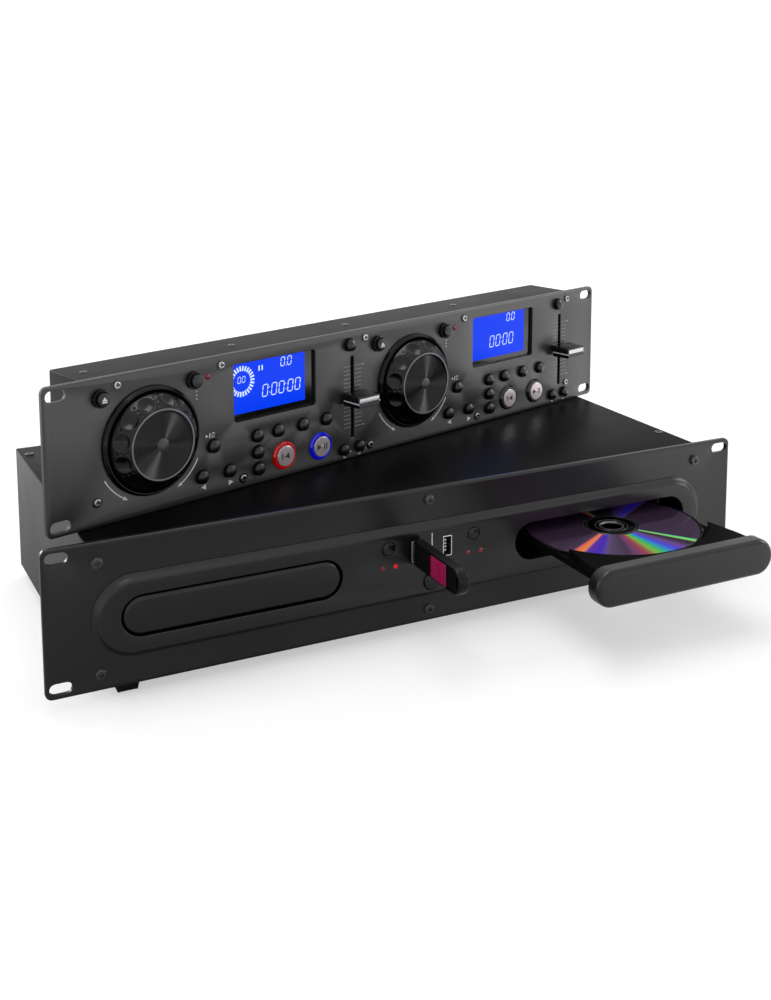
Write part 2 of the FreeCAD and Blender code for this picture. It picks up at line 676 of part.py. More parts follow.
def make_tray(side, out):
    """The drawer: floor, rims round the disc well, spindle slot and the toothed rack."""
    front = TRAY_BACK_CLOSED
    back = front + TRAY_LENGTH
    disc_y = -PAD_RISE + DISC_SETBACK
    floor = box((-TRAY_HALF, TRAY_HALF), (front, back), (TRAY_BOTTOM, TRAY_FLOOR))
    ear_end = disc_y - WELL_R / 2
    half_outline = [
        (TRAY_EAR_HALF, front),
        (TRAY_EAR_HALF - EAR_TAPER, ear_end - EAR_TAPER_LENGTH),
        (TRAY_WAIST_HALF, ear_end),
        (TRAY_WAIST_HALF, back),
    ]
    points = [V(x, y, TRAY_FLOOR) for x, y in half_outline]
    points += [V(-x, y, TRAY_FLOOR) for x, y in reversed(half_outline)]
    rim = outline(points).extrude(V(0, 0, TRAY_TOP - TRAY_FLOOR))
    rim = rim.cut(post(0, disc_y, WELL_R, (TRAY_FLOOR - PAST, TRAY_TOP + PAST)))
    tray = floor.fuse(rim).removeSplitter()
    slot_half = SPINDLE_SLOT_HALF
    slot_z = (TRAY_BOTTOM - PAST, TRAY_TOP + PAST)
    slot = post(0, disc_y, slot_half, slot_z)
    slot = slot.fuse(box((-slot_half, slot_half), (disc_y, back + PAST), slot_z))
    tray = tray.cut(slot).fuse(make_rack(front, back)).removeSplitter()
    tray.translate(V(side * TRAY_X, -out, 0))
    return tray


def make_rack(front, back):
    """A straight rack under the tray floor with its teeth towards +X."""
    pitch = math.pi * MODULE
    pitch_line = RACK_X + RACK_WIDTH / 2
    root_x, tip_x = pitch_line - TOOTH_ROOT, pitch_line + TOOTH_TIP
    low_z = TRAY_BOTTOM - RACK_DROP
    bar = box((RACK_X - RACK_WIDTH, root_x), (front, back), (low_z, TRAY_BOTTOM))
    teeth = []
    meshing_y = gear_place()[1]
    first = math.ceil((front + pitch / 2 - meshing_y) / pitch)
    last = math.floor((back - pitch / 2 - meshing_y) / pitch)
    root_half = tooth_half_width(-TOOTH_ROOT)
    tip_half = tooth_half_width(TOOTH_TIP)
    for number in range(first, last + 1):
        y = meshing_y + number * pitch
        face = outline([
            V(root_x, y - root_half, low_z),
            V(root_x, y + root_half, low_z),
            V(tip_x, y + tip_half, low_z),
            V(tip_x, y - tip_half, low_z),
        ])
        teeth.append(face.extrude(V(0, 0, RACK_DROP)))
    return bar.fuse(teeth).removeSplitter()


def make_loading_gear(side, out):
    """The pinion beside the rack. Its flanks are straight lines set out from the rack's own tooth."""
    x, y, pitch_r = gear_place()
    z = (TRAY_BOTTOM - GEAR_TOP_GAP - GEAR_THICK, TRAY_BOTTOM - GEAR_TOP_GAP)
    root_r = pitch_r - TOOTH_ROOT
    tip_r = pitch_r + GEAR_TIP
    turn = out / pitch_r
    points = []
    step = 2 * math.pi / GEAR_TEETH
    root_half = tooth_half_width(-TOOTH_TIP) / pitch_r
    pitch_half = tooth_half_width(0) / pitch_r
    tip_half = tooth_half_width(TOOTH_TIP) / pitch_r
    for number in range(GEAR_TEETH):
        middle = math.pi + step * (number + 0.5) + turn
        for radius, half in ((root_r, -root_half), (pitch_r, -pitch_half), (tip_r, -tip_half),
                             (tip_r, tip_half), (pitch_r, pitch_half), (root_r, root_half)):
            angle = middle + half
            points.append(V(x + radius * math.cos(angle), y + radius * math.sin(angle), z[0]))
    gear = outline(points).extrude(V(0, 0, GEAR_THICK))
    gear = gear.cut(post(x, y, GEAR_BORE, (z[0] - PAST, z[1] + PAST)))
    gear.translate(V(side * TRAY_X, 0, 0))
    return gear


def make_tray_front(side, out):
    """The round-ended front piece that closes the mouth."""
    width, height = MOUTH_WIDTH - 2 * MOUTH_GAP, MOUTH_HEIGHT - 2 * MOUTH_GAP
    front = stadium(0, TRAY_Z, width, height, (-PAD_RISE, TRAY_BACK_CLOSED))
    front = front.makeChamfer(TRAY_FRONT_EDGE, edges_at_y(front, -PAD_RISE))
    front.translate(V(side * TRAY_X, -out, 0))
    return front


def make_loader_frame():
    """A floor plate on four feet, two side walls with runners under the tray, and the gear's post."""
    y = (BOARD_FRONT + BOARD_THICK + PAST, LOADER_BACK)
    plate_z = (LOADER_FLOOR, LOADER_FLOOR + LOADER_WALL)
    inside = LOADER_HALF - LOADER_WALL
    runner_top = TRAY_BOTTOM - RUN_GAP
    parts = [box((-LOADER_HALF, LOADER_HALF), y, plate_z)]
    for flip in (-1, 1):
        wall = sorted((flip * inside, flip * LOADER_HALF))
        parts.append(box(wall, y, (plate_z[0], TRAY_TOP)))
        runner = sorted((flip * inside, flip * (inside - RUNNER_WIDTH)))
        parts.append(box(runner, y, (runner_top - RUNNER_HEIGHT, runner_top)))
        for foot_y in (y[0] + LOADER_FOOT_INSET, y[1] - LOADER_FOOT_INSET):
            foot_x = flip * (LOADER_HALF - LOADER_FOOT_INSET)
            parts.append(centred_post(foot_x, foot_y, LOADER_FOOT, (CHASSIS_FLOOR + SHEET, plate_z[0])))
    gear_x, gear_y, _ = gear_place()
    gear_low = TRAY_BOTTOM - GEAR_TOP_GAP - GEAR_THICK - RUN_GAP
    parts.append(centred_post(gear_x, gear_y, 2 * (POST_R + POST_SHOULDER), (plate_z[1], gear_low)))
    parts.append(post(gear_x, gear_y, POST_R, (gear_low, gear_low + GEAR_THICK)))
    return parts[0].fuse(parts[1:]).removeSplitter()


def make_disc_deck(side):
    """One loader: frame, disc motor with its turntable, two rails and the pickup on them."""
    disc_y = -PAD_RISE + DISC_SETBACK
    plate_z = (LOADER_FLOOR, LOADER_FLOOR + LOADER_WALL)
    slot_x = PICKUP[0] / 2 + RAIL
    slot_y = (disc_y - TURNTABLE_R, LOADER_BACK - MOTOR_R)
    frame = make_loader_frame().cut(box((-slot_x, slot_x), slot_y, (plate_z[0] - PAST, plate_z[1] + PAST)))
    table_z = (TRAY_FLOOR - TURNTABLE_GAP - TURNTABLE_THICK, TRAY_FLOOR - TURNTABLE_GAP)
    motor = post(0, disc_y, MOTOR_R, (plate_z[0] - MOTOR_HEIGHT, plate_z[0]))
    table = post(0, disc_y, TURNTABLE_R, table_z)
    column = centred_post(0, disc_y, SPINDLE_WIDTH, (plate_z[0], table_z[0]))
    bridge_half = MOTOR_R + RAIL
    bridge_y = (disc_y - TURNTABLE_R - RAIL, disc_y)
    bridge = box((-bridge_half, bridge_half), bridge_y, (plate_z[0] - RAIL, plate_z[0]))
    spindle = motor.fuse([table, column, bridge]).removeSplitter()
    rails = []
    for flip in (-1, 1):
        rail_x = flip * PICKUP[0] / 2
        rail_y = (disc_y + MOTOR_R + RAIL, slot_y[1])
        rails.append(box((rail_x - RAIL / 2, rail_x + RAIL / 2), rail_y, plate_z))
    pickup_y = disc_y + MOTOR_R + 2 * RAIL
    pickup_z = (plate_z[0] - RAIL, plate_z[0] + PICKUP[2])
    pickup = box((-PICKUP[0] / 2, PICKUP[0] / 2), (pickup_y, pickup_y + PICKUP[1]), pickup_z).cut(rails)
    solids = [frame, spindle, pickup] + rails
    for solid in solids:
        solid.translate(V(side * TRAY_X, 0, 0))
    return solids


def make_disc(side, out):
    """The disc lying in the open tray."""
    y = -PAD_RISE + DISC_SETBACK - out
    z = (TRAY_FLOOR + DISC_GAP, TRAY_FLOOR + DISC_GAP + DISC_THICK)
    disc = post(side * TRAY_X, y, DISC_R, z)
    return disc.cut(post(side * TRAY_X, y, DISC_HOLE_R, (z[0] - PAST, z[1] + PAST)))


def make_usb_stick():
    """A flat memory stick with a round end, a key hole and a hollow plug in the left socket."""
    half_w, half_h = STICK_WIDTH / 2, STICK_HEIGHT / 2
    x, r = STICK_X - half_w, STICK_ROUND
    low, high = STICK_Z - half_h, STICK_Z + half_h
    near = STICK_FRONT
    diagonal = r * (1 - math.sqrt(0.5))
    edges = [
        Part.LineSegment(V(x, STICK_BACK, low), V(x, near + r, low)),
        Part.Arc(V(x, near + r, low), V(x, near + diagonal, low + diagonal), V(x, near, low + r)),
        Part.LineSegment(V(x, near, low + r), V(x, near, high - r)),
        Part.Arc(V(x, near, high - r), V(x, near + diagonal, high - diagonal), V(x, near + r, high)),
        Part.LineSegment(V(x, near + r, high), V(x, STICK_BACK, high)),
        Part.LineSegment(V(x, STICK_BACK, high), V(x, STICK_BACK, low)),
    ]
    body = Part.Face(Part.Wire([e.toShape() for e in edges])).extrude(V(STICK_WIDTH, 0, 0))
    hole_y = (near + STICK_KEY_INSET, near + STICK_KEY_INSET + STICK_KEY_HOLE[1])
    key_half = STICK_KEY_HOLE[0] / 2
    key_hole = box((x - PAST, x + STICK_WIDTH + PAST), hole_y, (STICK_Z - key_half, STICK_Z + key_half))
    body = body.cut(key_hole)
    wall, (plug_width, plug_height) = STICK_PLUG_WALL, STICK_PLUG
    plug_y = (STICK_BACK, STICK_BACK + STICK_PLUG_REACH)
    plug = centred(-USB_X, USB_Z, plug_width, plug_height, plug_y)
    room_y = (plug_y[0], plug_y[1] + PAST)
    room = centred(-USB_X, USB_Z, plug_width - 2 * wall, plug_height - 2 * wall, room_y)
    tongue_right = -USB_X + plug_width / 2 - wall / 2
    tongue_half = (plug_height - wall) / 2
    tongue_y = (plug_y[0], plug_y[1] - STICK_TONGUE_SHORT)
    tongue = box((tongue_right - STICK_TONGUE - wall / 2, tongue_right), tongue_y,
                 (USB_Z - tongue_half, USB_Z + tongue_half))
    return body.fuse([plug.cut(room), tongue]).removeSplitter()


def make_all():
    os.makedirs("parts", exist_ok=True)
    save("controller_panel", [make_controller_panel()], seat_controller)
    save("controller_housing", make_controller_housing(), seat_controller)
    save("control_board", make_control_board(), seat_controller)
    save("controller_screws", make_controller_screws(), seat_controller)
    save("jog_bezels", make_jog_bezels(), seat_controller)
    save("controller_lamps", make_controller_lamps(), seat_controller)
    for deck, shift in DECKS.items():
        save(deck + "_jog_wheel", [make_jog_wheel(shift)], seat_controller)
        save(deck + "_pitch_knob", [make_pitch_knob(shift)], seat_controller)
        for name, x, z, radius, rise in controller_buttons():
            cap = rod(x + shift, z, radius, (-rise, CAP_BACK))
            save(deck + "_" + name + "_button", [cap], seat_controller)
    save("player_panel", [make_player_panel()])
    save("player_base", [make_player_base()])
    save("player_cover", [make_player_cover()])
    save("player_screws", make_player_screws())
    save("player_feet", make_feet())
    save("player_board", make_player_board())
    save("disc_decks", make_disc_deck(-1) + make_disc_deck(1))
    for deck, side, out in (("left", -1, 0.0), ("right", 1, RIGHT_TRAY_OUT)):
        save(deck + "_tray", [make_tray(side, out)])
        save(deck + "_tray_front", [make_tray_front(side, out)])
        save(deck + "_loading_gear", [make_loading_gear(side, out)])
        x, z = side * SOURCE_BUTTON[0], SOURCE_BUTTON[1]
        save(deck + "_source_button", [rod(x, z, SMALL_CAP_R, (-SOURCE_RISE, CAP_BACK))])
    save("power_button", [rod(POWER_BUTTON[0], POWER_BUTTON[1], POWER_CAP_R, (-POWER_RISE, CAP_BACK))])
    save("disc", [make_disc(1, RIGHT_TRAY_OUT)])
    save("usb_stick", [make_usb_stick()])


make_all()
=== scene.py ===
# %% [markdown]
# # A two-deck disc player in two rack units
# The real object is a tray unit with two drawers and, standing on it, a controller with two jog wheels.
# Almost all of it is black painted steel and moulded plastic, so the looks live in small things:
# rounded edges that catch a thin light line, fine powder paint, lit displays and a shining disc.
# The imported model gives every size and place. Each piece here is drawn in millimetres, in its own
# unit's drawing frame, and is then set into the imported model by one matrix.

# %% Load the fixed frame
import json
import math

import bmesh
import bpy
from mathutils import Matrix, Vector


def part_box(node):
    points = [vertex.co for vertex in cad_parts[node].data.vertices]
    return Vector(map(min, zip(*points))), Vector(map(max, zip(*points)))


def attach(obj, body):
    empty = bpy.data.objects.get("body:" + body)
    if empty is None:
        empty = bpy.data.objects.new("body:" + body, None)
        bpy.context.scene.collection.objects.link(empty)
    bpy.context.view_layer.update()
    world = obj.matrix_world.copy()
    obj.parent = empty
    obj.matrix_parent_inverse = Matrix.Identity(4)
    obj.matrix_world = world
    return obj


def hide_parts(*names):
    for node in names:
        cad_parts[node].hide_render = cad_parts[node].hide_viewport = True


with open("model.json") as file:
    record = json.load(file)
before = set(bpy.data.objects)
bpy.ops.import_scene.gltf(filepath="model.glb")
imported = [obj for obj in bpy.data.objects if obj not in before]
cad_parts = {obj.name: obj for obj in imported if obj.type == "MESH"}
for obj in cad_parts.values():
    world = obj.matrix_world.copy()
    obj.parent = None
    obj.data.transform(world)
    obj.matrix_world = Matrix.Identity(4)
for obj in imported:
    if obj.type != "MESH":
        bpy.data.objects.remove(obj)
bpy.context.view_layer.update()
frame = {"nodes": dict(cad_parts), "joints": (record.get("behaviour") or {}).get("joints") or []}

# %% [markdown]
# ## Two drawing frames
# The player is drawn from the bottom centre of its panel's flat front. The controller is drawn from
# the same point of its own panel, and stands turned on the player. Its turn is read from the two jog
# axes, so the looks follow the model if it is ever stood at another angle.

# %% Where each unit's drawing frame lies
MM = 0.001
PAD_RISE = 4.5
JOG_X, JOG_Z = -171.4, 44.5
DECK_PITCH = 214.5
DECKS = {"left": 0.0, "right": DECK_PITCH}


def joint_point(name):
    """The point on a joint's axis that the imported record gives, in metres."""
    for joint in frame["joints"]:
        if joint["name"] == name:
            return Vector(joint["pos_m"])
    raise ValueError("no joint named " + name)


panel_low, panel_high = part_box("player_panel")
player_corner = Vector(((panel_low.x + panel_high.x) / 2, panel_low.y + PAD_RISE * MM, panel_low.z))
ON_PLAYER = Matrix.Translation(player_corner) @ Matrix.Scale(MM, 4)
jog_left = joint_point("left_jog_spin")
across = joint_point("right_jog_spin") - jog_left
YAW = math.atan2(across.y, across.x)
ON_CONTROLLER = (
    Matrix.Translation(jog_left)
    @ Matrix.Rotation(YAW, 4, "Z")
    @ Matrix.Scale(MM, 4)
    @ Matrix.Translation((-JOG_X, 0, -JOG_Z))
)
print("controller turned by", round(math.degrees(YAW), 2), "degrees")

# %% [markdown]
# ## Camera
# A long lens low in front of the left end. The object fills the width of a tall picture, so the
# sensor's long side is its height, and the picture is shifted up instead of tilting further.

# %% Camera
PICTURE = (771, 1000)
FOCAL_PIXELS = 1326.4
CENTRE_PIXEL = (412.0, 251.2)
SENSOR = 36.0
EYE = Vector((-375.0, -712.5, 356.8))
HEADING = math.radians(27.0)
DIP = math.radians(8.36)

camera_data = bpy.data.cameras.new("camera")
camera_data.sensor_width = SENSOR
camera_data.lens = FOCAL_PIXELS / PICTURE[1] * SENSOR
camera_data.shift_x = (PICTURE[0] / 2 - CENTRE_PIXEL[0]) / PICTURE[1]
camera_data.shift_y = (CENTRE_PIXEL[1] - PICTURE[1] / 2) / PICTURE[1]
camera_data.clip_start = 0.01
camera = bpy.data.objects.new("camera", camera_data)
bpy.context.scene.collection.objects.link(camera)
camera.location = ON_PLAYER @ EYE
camera.rotation_euler = (math.pi / 2 - DIP, 0, -HEADING)
bpy.context.scene.camera = camera
shift = [round(value, 4) for value in (camera_data.shift_x, camera_data.shift_y)]
print("lens", round(camera_data.lens, 2), "shift", *shift)

# %% [markdown]
# ## Node helpers
# Materials, the floor and the geometry trees are all built from nodes. A few small helpers make a
# node, a sum, a vector or a mix in one line each, so the trees below read like formulas.

# %% Make a node, calculate, mix
def add_node(tree, kind, **settings):
    node = tree.nodes.new(kind)
    for key, value in settings.items():
        setattr(node, key, value)
    return node


def plug(tree, value, socket):
    """Gives an input a plain value, or links it to an output."""
    if isinstance(value, bpy.types.NodeSocket):
        tree.links.new(value, socket)
    else:
        socket.default_value = value


def calc(tree, operation, *values):
    """A math node on values that are sockets or plain numbers. Returns its output."""
    node = add_node(tree, "ShaderNodeMath", operation=operation)
    for k, value in enumerate(values):
        plug(tree, value, node.inputs[k])
    return node.outputs[0]


def vector(tree, x, y, z):
    """A vector from three sockets or plain numbers."""
    node = add_node(tree, "ShaderNodeCombineXYZ")
    for label, value in zip("XYZ", (x, y, z)):
        plug(tree, value, node.inputs[label])
    return node.outputs[0]


def distance(tree, first, second):
    """How far two points lie apart; each is a socket or three plain numbers."""
    node = add_node(tree, "ShaderNodeVectorMath", operation="DISTANCE")
    plug(tree, first, node.inputs[0])
    plug(tree, second, node.inputs[1])
    return node.outputs["Value"]


def mixed(tree, kind, factor, first, second):
    """A mix of two numbers (FLOAT) or two colours (RGBA). Returns its output."""
    node = add_node(tree, "ShaderNodeMix", data_type=kind)
    for label, value in (("Factor", factor), ("A", first), ("B", second)):
        plug(tree, value, node.inputs[label])
    return node.outputs["Result"]


def mapped(tree, value, limits, **settings):
    """Maps a value from (low, high) to another (low, high); limits holds all four."""
    node = add_node(tree, "ShaderNodeMapRange", **settings)
    for label, limit in zip(("From Min", "From Max", "To Min", "To Max"), limits):
        node.inputs[label].default_value = limit
    tree.links.new(value, node.inputs["Value"])
    return node.outputs["Result"]


# %% [markdown]
# ## Stage and light
# A plain pale floor and a few soft boxes. The floor answers the camera with extra light of its own,
# so that it reads as white paper and still keeps the shadow under the object. That light is weaker
# near the object, a painted shade round it, and mirrors see it darkest out in front of the left end,
# a painted shade that the panels reflect on their left. The lamps stay at a plain level: a colour on
# the object renders about as it is written.

# %% Floor, backdrop and lamps
FLOOR_SIZE = 60.0
FLOOR_SHADE = 0.6
# Each glow is weakest near its middle: painted shade round the object for the camera, and for mirrors a
# painted dark patch in front of the left end.
CAMERA_GLOW = {"middle": (0, 0, 0), "limits": (0.5, 1.6, 0.5, 0.9)}
GLOSS_GLOW = {"middle": (-0.45, -0.25, 0), "limits": (0.35, 1.0, 0.0, 1.3)}
WORLD_LIGHT = 0.42


def seen_by_camera(tree):
    """A value of 1 on rays that come from the camera, a mirror or a clear solid."""
    path = tree.nodes.new("ShaderNodeLightPath").outputs
    mirrored = calc(tree, "MAXIMUM", path["Is Camera Ray"], path["Is Glossy Ray"])
    return calc(tree, "MAXIMUM", mirrored, path["Is Transmission Ray"])


def glow_of(tree, place, middle, limits):
    """Light that the floor adds, growing with the distance from a point, so that it paints shade near that
    point.
    """
    return mapped(tree, distance(tree, place, middle), limits, interpolation_type="SMOOTHSTEP")


def make_floor():
    material = bpy.data.materials.new("floor_paper")
    material.use_nodes = True
    tree = material.node_tree
    tree.nodes.clear()
    place = tree.nodes.new("ShaderNodeTexCoord").outputs["Object"]
    by_mirror = tree.nodes.new("ShaderNodeLightPath").outputs["Is Glossy Ray"]
    glows = [glow_of(tree, place, **given) for given in (CAMERA_GLOW, GLOSS_GLOW)]
    glow = tree.nodes.new("ShaderNodeEmission")
    strength = calc(tree, "MULTIPLY", seen_by_camera(tree), mixed(tree, "FLOAT", by_mirror, *glows))
    tree.links.new(strength, glow.inputs["Strength"])
    diffuse = tree.nodes.new("ShaderNodeBsdfDiffuse")
    diffuse.inputs["Color"].default_value = (FLOOR_SHADE, FLOOR_SHADE, FLOOR_SHADE, 1)
    both = tree.nodes.new("ShaderNodeAddShader")
    tree.links.new(diffuse.outputs[0], both.inputs[0])
    tree.links.new(glow.outputs[0], both.inputs[1])
    output = tree.nodes.new("ShaderNodeOutputMaterial")
    tree.links.new(both.outputs[0], output.inputs["Surface"])
    mesh = bpy.data.meshes.new("floor")
    half = FLOOR_SIZE / 2
    corners = [(-half, -half, 0), (half, -half, 0), (half, half, 0), (-half, half, 0)]
    mesh.from_pydata(corners, [], [(0, 1, 2, 3)])
    mesh.materials.append(material)
    floor = bpy.data.objects.new("floor", mesh)
    bpy.context.scene.collection.objects.link(floor)
    return floor


def make_world():
    world = bpy.data.worlds.new("studio")
    world.use_nodes = True
    tree = world.node_tree
    background = tree.nodes["Background"]
    strength = mixed(tree, "FLOAT", seen_by_camera(tree), WORLD_LIGHT, 1.0)
    tree.links.new(strength, background.inputs["Strength"])
    background.inputs["Color"].default_value = (1, 1, 1, 1)
    bpy.context.scene.world = world


def make_softbox(name, place, target, size, watts):
    """A rectangular lamp at a place, turned towards its target."""
    data = bpy.data.lights.new(name, "AREA")
    data.shape = "RECTANGLE"
    data.size, data.size_y = size
    data.energy = watts
    lamp = bpy.data.objects.new(name, data)
    lamp.location = place
    lamp.rotation_euler = (Vector(target) - Vector(place)).to_track_quat("-Z", "Y").to_euler()
    bpy.context.scene.collection.objects.link(lamp)
    return lamp


make_floor()
make_world()
SOFTBOXES = [
    ("top_softbox", (-0.1, 0.2, 1.9), (0, 0.1, 0.05), (1.6, 0.8), 14),
    ("left_softbox", (-1.7, 0.3, 0.7), (0, 0.1, 0.1), (0.9, 1.0), 8),
    ("back_softbox", (-1.3, 2.2, 0.7), (0, 0.2, 0.08), (1.2, 0.8), 34),
    ("right_softbox", (1.05, -0.36, 0.45), (0, 0, 0.12), (0.3, 0.4), 3),
]
for row in SOFTBOXES:
    make_softbox(*row)
bpy.context.scene.view_settings.view_transform = "Standard"
print("softboxes:", len(SOFTBOXES))

# %% [markdown]
# ## Finishes
# Painted sheet, moulded plastic, rubber and plated metal differ in three things: how fine their grain
# is, how much their gloss varies, and how strongly they mirror the room. One maker sets all three
# with noise in object space, so a grain keeps its real size on every piece.

# %% The maker of a grained surface
def linear(red, green, blue):
    """A colour as a screen shows it, 0 to 255 each, in the linear values that shading uses."""
    channels = []
    for value in (red, green, blue):
        share = value / 255
        channels.append(share / 12.92 if share <= 0.04045 else ((share + 0.055) / 1.055) ** 2.4)
    return (*channels, 1.0)


def noise(tree, coordinates, scale, detail=3.0, roughness=0.55):
    """A noise texture's value output, read in object space."""
    texture = add_node(tree, "ShaderNodeTexNoise")
    texture.inputs["Scale"].default_value = scale
    texture.inputs["Detail"].default_value = detail
    texture.inputs["Roughness"].default_value = roughness
    tree.links.new(coordinates, texture.inputs["Vector"])
    return texture.outputs["Fac"]


def ranged(tree, value, low, high):
    """Maps noise, which lies mostly between 0.3 and 0.7, to low..high."""
    return mapped(tree, value, (0.3, 0.7, low, high), clamp=True)


def bump(tree, height, depth_mm):
    """A bump node whose full height is given in millimetres."""
    node = add_node(tree, "ShaderNodeBump")
    node.inputs["Distance"].default_value = depth_mm * MM
    node.inputs["Strength"].default_value = 1.0
    tree.links.new(height, node.inputs["Height"])
    return node.outputs["Normal"]


SLOW_DRIFT = 14.0
SLOW_SHARE, FINE_SHARE = 0.6, 0.4


def grained(name, colour, rough, grain_mm, depth_mm, metallic=0.0, specular=0.5, mottle=0.12):
    """A surface with fine grain, a slow drift of colour and gloss, and a bump of its own size."""
    material = bpy.data.materials.new(name)
    material.use_nodes = True
    tree = material.node_tree
    shader = tree.nodes["Principled BSDF"]
    place = add_node(tree, "ShaderNodeTexCoord").outputs["Object"]
    fine = noise(tree, place, 1 / (grain_mm * MM))
    slow = noise(tree, place, SLOW_DRIFT, detail=4.0)
    darker, lighter = [[c * (1 + way * mottle) for c in colour[:3]] + [1] for way in (-1, 1)]
    blend = calc(tree, "ADD", ranged(tree, slow, 0.0, SLOW_SHARE), ranged(tree, fine, 0.0, FINE_SHARE))
    tree.links.new(mixed(tree, "RGBA", blend, darker, lighter), shader.inputs["Base Color"])
    tree.links.new(ranged(tree, slow, rough[0], rough[1]), shader.inputs["Roughness"])
    tree.links.new(bump(tree, fine, depth_mm), shader.inputs["Normal"])
    shader.inputs["Metallic"].default_value = metallic
    shader.inputs["Specular IOR Level"].default_value = specular
    return material


# %% [markdown]
# The two front panels are powder-painted steel, which is a little coarser than the drawers' moulded
# plastic. The rubber of the feet is the dullest thing here, and the lid's paint has the least grain.

# %% Paints, plastics, rubber and metals
FINISH = {}


def add_finish(name, *values, **more):
    FINISH[name] = grained(name, *values, **more)


add_finish("player_paint", linear(9, 9, 10), (0.28, 0.36), 0.5, 0.025, specular=0.45)
add_finish("controller_paint", linear(42, 42, 43), (0.30, 0.40), 0.45, 0.03, specular=0.65)
add_finish("housing_paint", linear(40, 40, 41), (0.45, 0.55), 0.6, 0.02, specular=0.05)
add_finish("chassis_paint", linear(52, 52, 53), (0.45, 0.55), 0.6, 0.02, specular=0.1)
add_finish("lid_paint", linear(8, 8, 9), (0.34, 0.44), 0.5, 0.01, specular=0.03)
add_finish("drawer_plastic", linear(14, 14, 15), (0.45, 0.55), 0.35, 0.006, specular=0.01)
add_finish("front_plastic", linear(15, 15, 16), (0.26, 0.34), 0.35, 0.01, specular=0.4)
add_finish("bezel_plastic", linear(7, 7, 8), (0.16, 0.22), 0.3, 0.004, specular=0.2)
add_finish("jog_plastic", linear(11, 11, 12), (0.18, 0.26), 0.3, 0.004, specular=0.3)
add_finish("button_plastic", linear(14, 14, 15), (0.22, 0.32), 0.25, 0.003, specular=0.4)
add_finish("black_screw", linear(74, 74, 75), (0.25, 0.38), 0.2, 0.004, metallic=0.9, specular=0.5)
add_finish("bright_screw", linear(170, 170, 172), (0.22, 0.35), 0.2, 0.004, metallic=1.0)
add_finish("cap_silver", linear(205, 205, 208), (0.16, 0.26), 0.2, 0.003, metallic=1.0)
add_finish("silver_plastic", linear(196, 196, 200), (0.20, 0.30), 0.2, 0.003, metallic=1.0)
add_finish("foot_rubber", linear(12, 12, 12), (0.75, 0.9), 0.6, 0.03, specular=0.3)
add_finish("board_green", linear(22, 62, 40), (0.4, 0.55), 0.8, 0.01)
add_finish("gear_plastic", linear(225, 222, 210), (0.4, 0.5), 0.4, 0.004)
add_finish("deck_plastic", linear(38, 38, 40), (0.45, 0.55), 0.5, 0.01)
print("finishes:", len(FINISH))

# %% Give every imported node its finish
NODE_FINISH = {
    "player_panel": "player_paint",
    "controller_panel": "controller_paint",
    "player_base": "chassis_paint",
    "controller_housing": "housing_paint",
    "player_cover": "lid_paint",
    "player_screws": "black_screw",
    "controller_screws": "black_screw",
    "player_feet": "foot_rubber",
    "player_board": "board_green",
    "control_board": "board_green",
    "disc_decks": "deck_plastic",
    "jog_bezels": "bezel_plastic",
    "controller_lamps": "silver_plastic",
    "disc": "silver_plastic",
    "usb_stick": "button_plastic",
}
NODE_ENDINGS = {
    "_jog_wheel": "jog_plastic",
    "_pitch_knob": "button_plastic",
    "_button": "button_plastic",
    "_loading_gear": "gear_plastic",
    "_tray": "drawer_plastic",
    "_tray_front": "front_plastic",
}


def finish_of(node_name):
    if node_name in NODE_FINISH:
        return FINISH[NODE_FINISH[node_name]]
    for ending, finish in NODE_ENDINGS.items():
        if node_name.endswith(ending):
            return FINISH[finish]
    raise ValueError("no finish for " + node_name)


for node_name, node_object in frame["nodes"].items():
    node_object.data.materials.clear()
    node_object.data.materials.append(finish_of(node_name))
print("nodes with a finish:", len(frame["nodes"]))

# %% [markdown]
# A disc's colours are diffraction: a groove spreads light by the angle across it. A shader can't follow
# that cheaply, so the colours are painted glints: each sector takes a hue from its turn about the middle,
# as fans of colour that narrow to the hub and stay put whatever the lamps do. The strong hues glow a
# little, a painted glow, and between them the disc is a mirror tinted mauve, a painted haze of diffraction.

# %% Disc finishes
def plain(name, colour, roughness, metallic=0.0, specular=0.5, glow=None):
    """A smooth surface whose gloss drifts a little, for lenses, lamps and plated skins."""
    material = grained(name, colour, (roughness, roughness + 0.06), 0.3, 0.001, metallic, specular, 0.04)
    if glow:
        shader = material.node_tree.nodes["Principled BSDF"]
        shader.inputs["Emission Color"].default_value = glow[0]
        shader.inputs["Emission Strength"].default_value = glow[1]
    return material


def add_plain(name, *values, **more):
    FINISH[name] = plain(name, *values, **more)


add_plain("disc_clear", linear(6, 6, 8), 0.05, 0.0, 0.5)
add_plain("disc_line", linear(128, 128, 134), 0.2, 0.6)
add_plain("disc_band", linear(70, 66, 78), 0.1, 0.9)
# Hues by turn about the middle: painted glints of diffraction, fixed on the disc.
PAINTED_GLINT_HUES = [
    (0, (84, 62, 92)), (28, (84, 62, 92)), (34, (30, 30, 190)), (42, (60, 40, 150)),
    (60, (60, 44, 84)), (84, (60, 44, 84)), (90, (60, 150, 60)), (94, (170, 40, 40)),
    (100, (70, 50, 90)), (190, (84, 62, 92)), (208, (104, 70, 110)), (211, (255, 110, 60)),
    (215, (255, 150, 60)), (218, (96, 40, 170)), (226, (60, 30, 190)), (234, (104, 84, 130)),
    (246, (96, 84, 110)), (254, (150, 40, 96)), (260, (170, 66, 54)), (266, (140, 190, 50)),
    (271, (40, 200, 90)), (276, (30, 150, 210)), (282, (60, 70, 230)), (288, (110, 70, 170)),
    (296, (90, 66, 100)), (301, (90, 66, 100)), (303, (170, 250, 40)), (305, (60, 250, 160)),
    (307, (90, 66, 100)), (360, (84, 62, 92)),
]
PAINTED_GLINT_GLOW = 0.16
MIRROR_SPREAD = (0.12, 0.4)
MIRROR_TINT = (158, 124, 172)
MIRROR_METAL = (0.9, 0.1)
DISC_GLOSS = 0.06


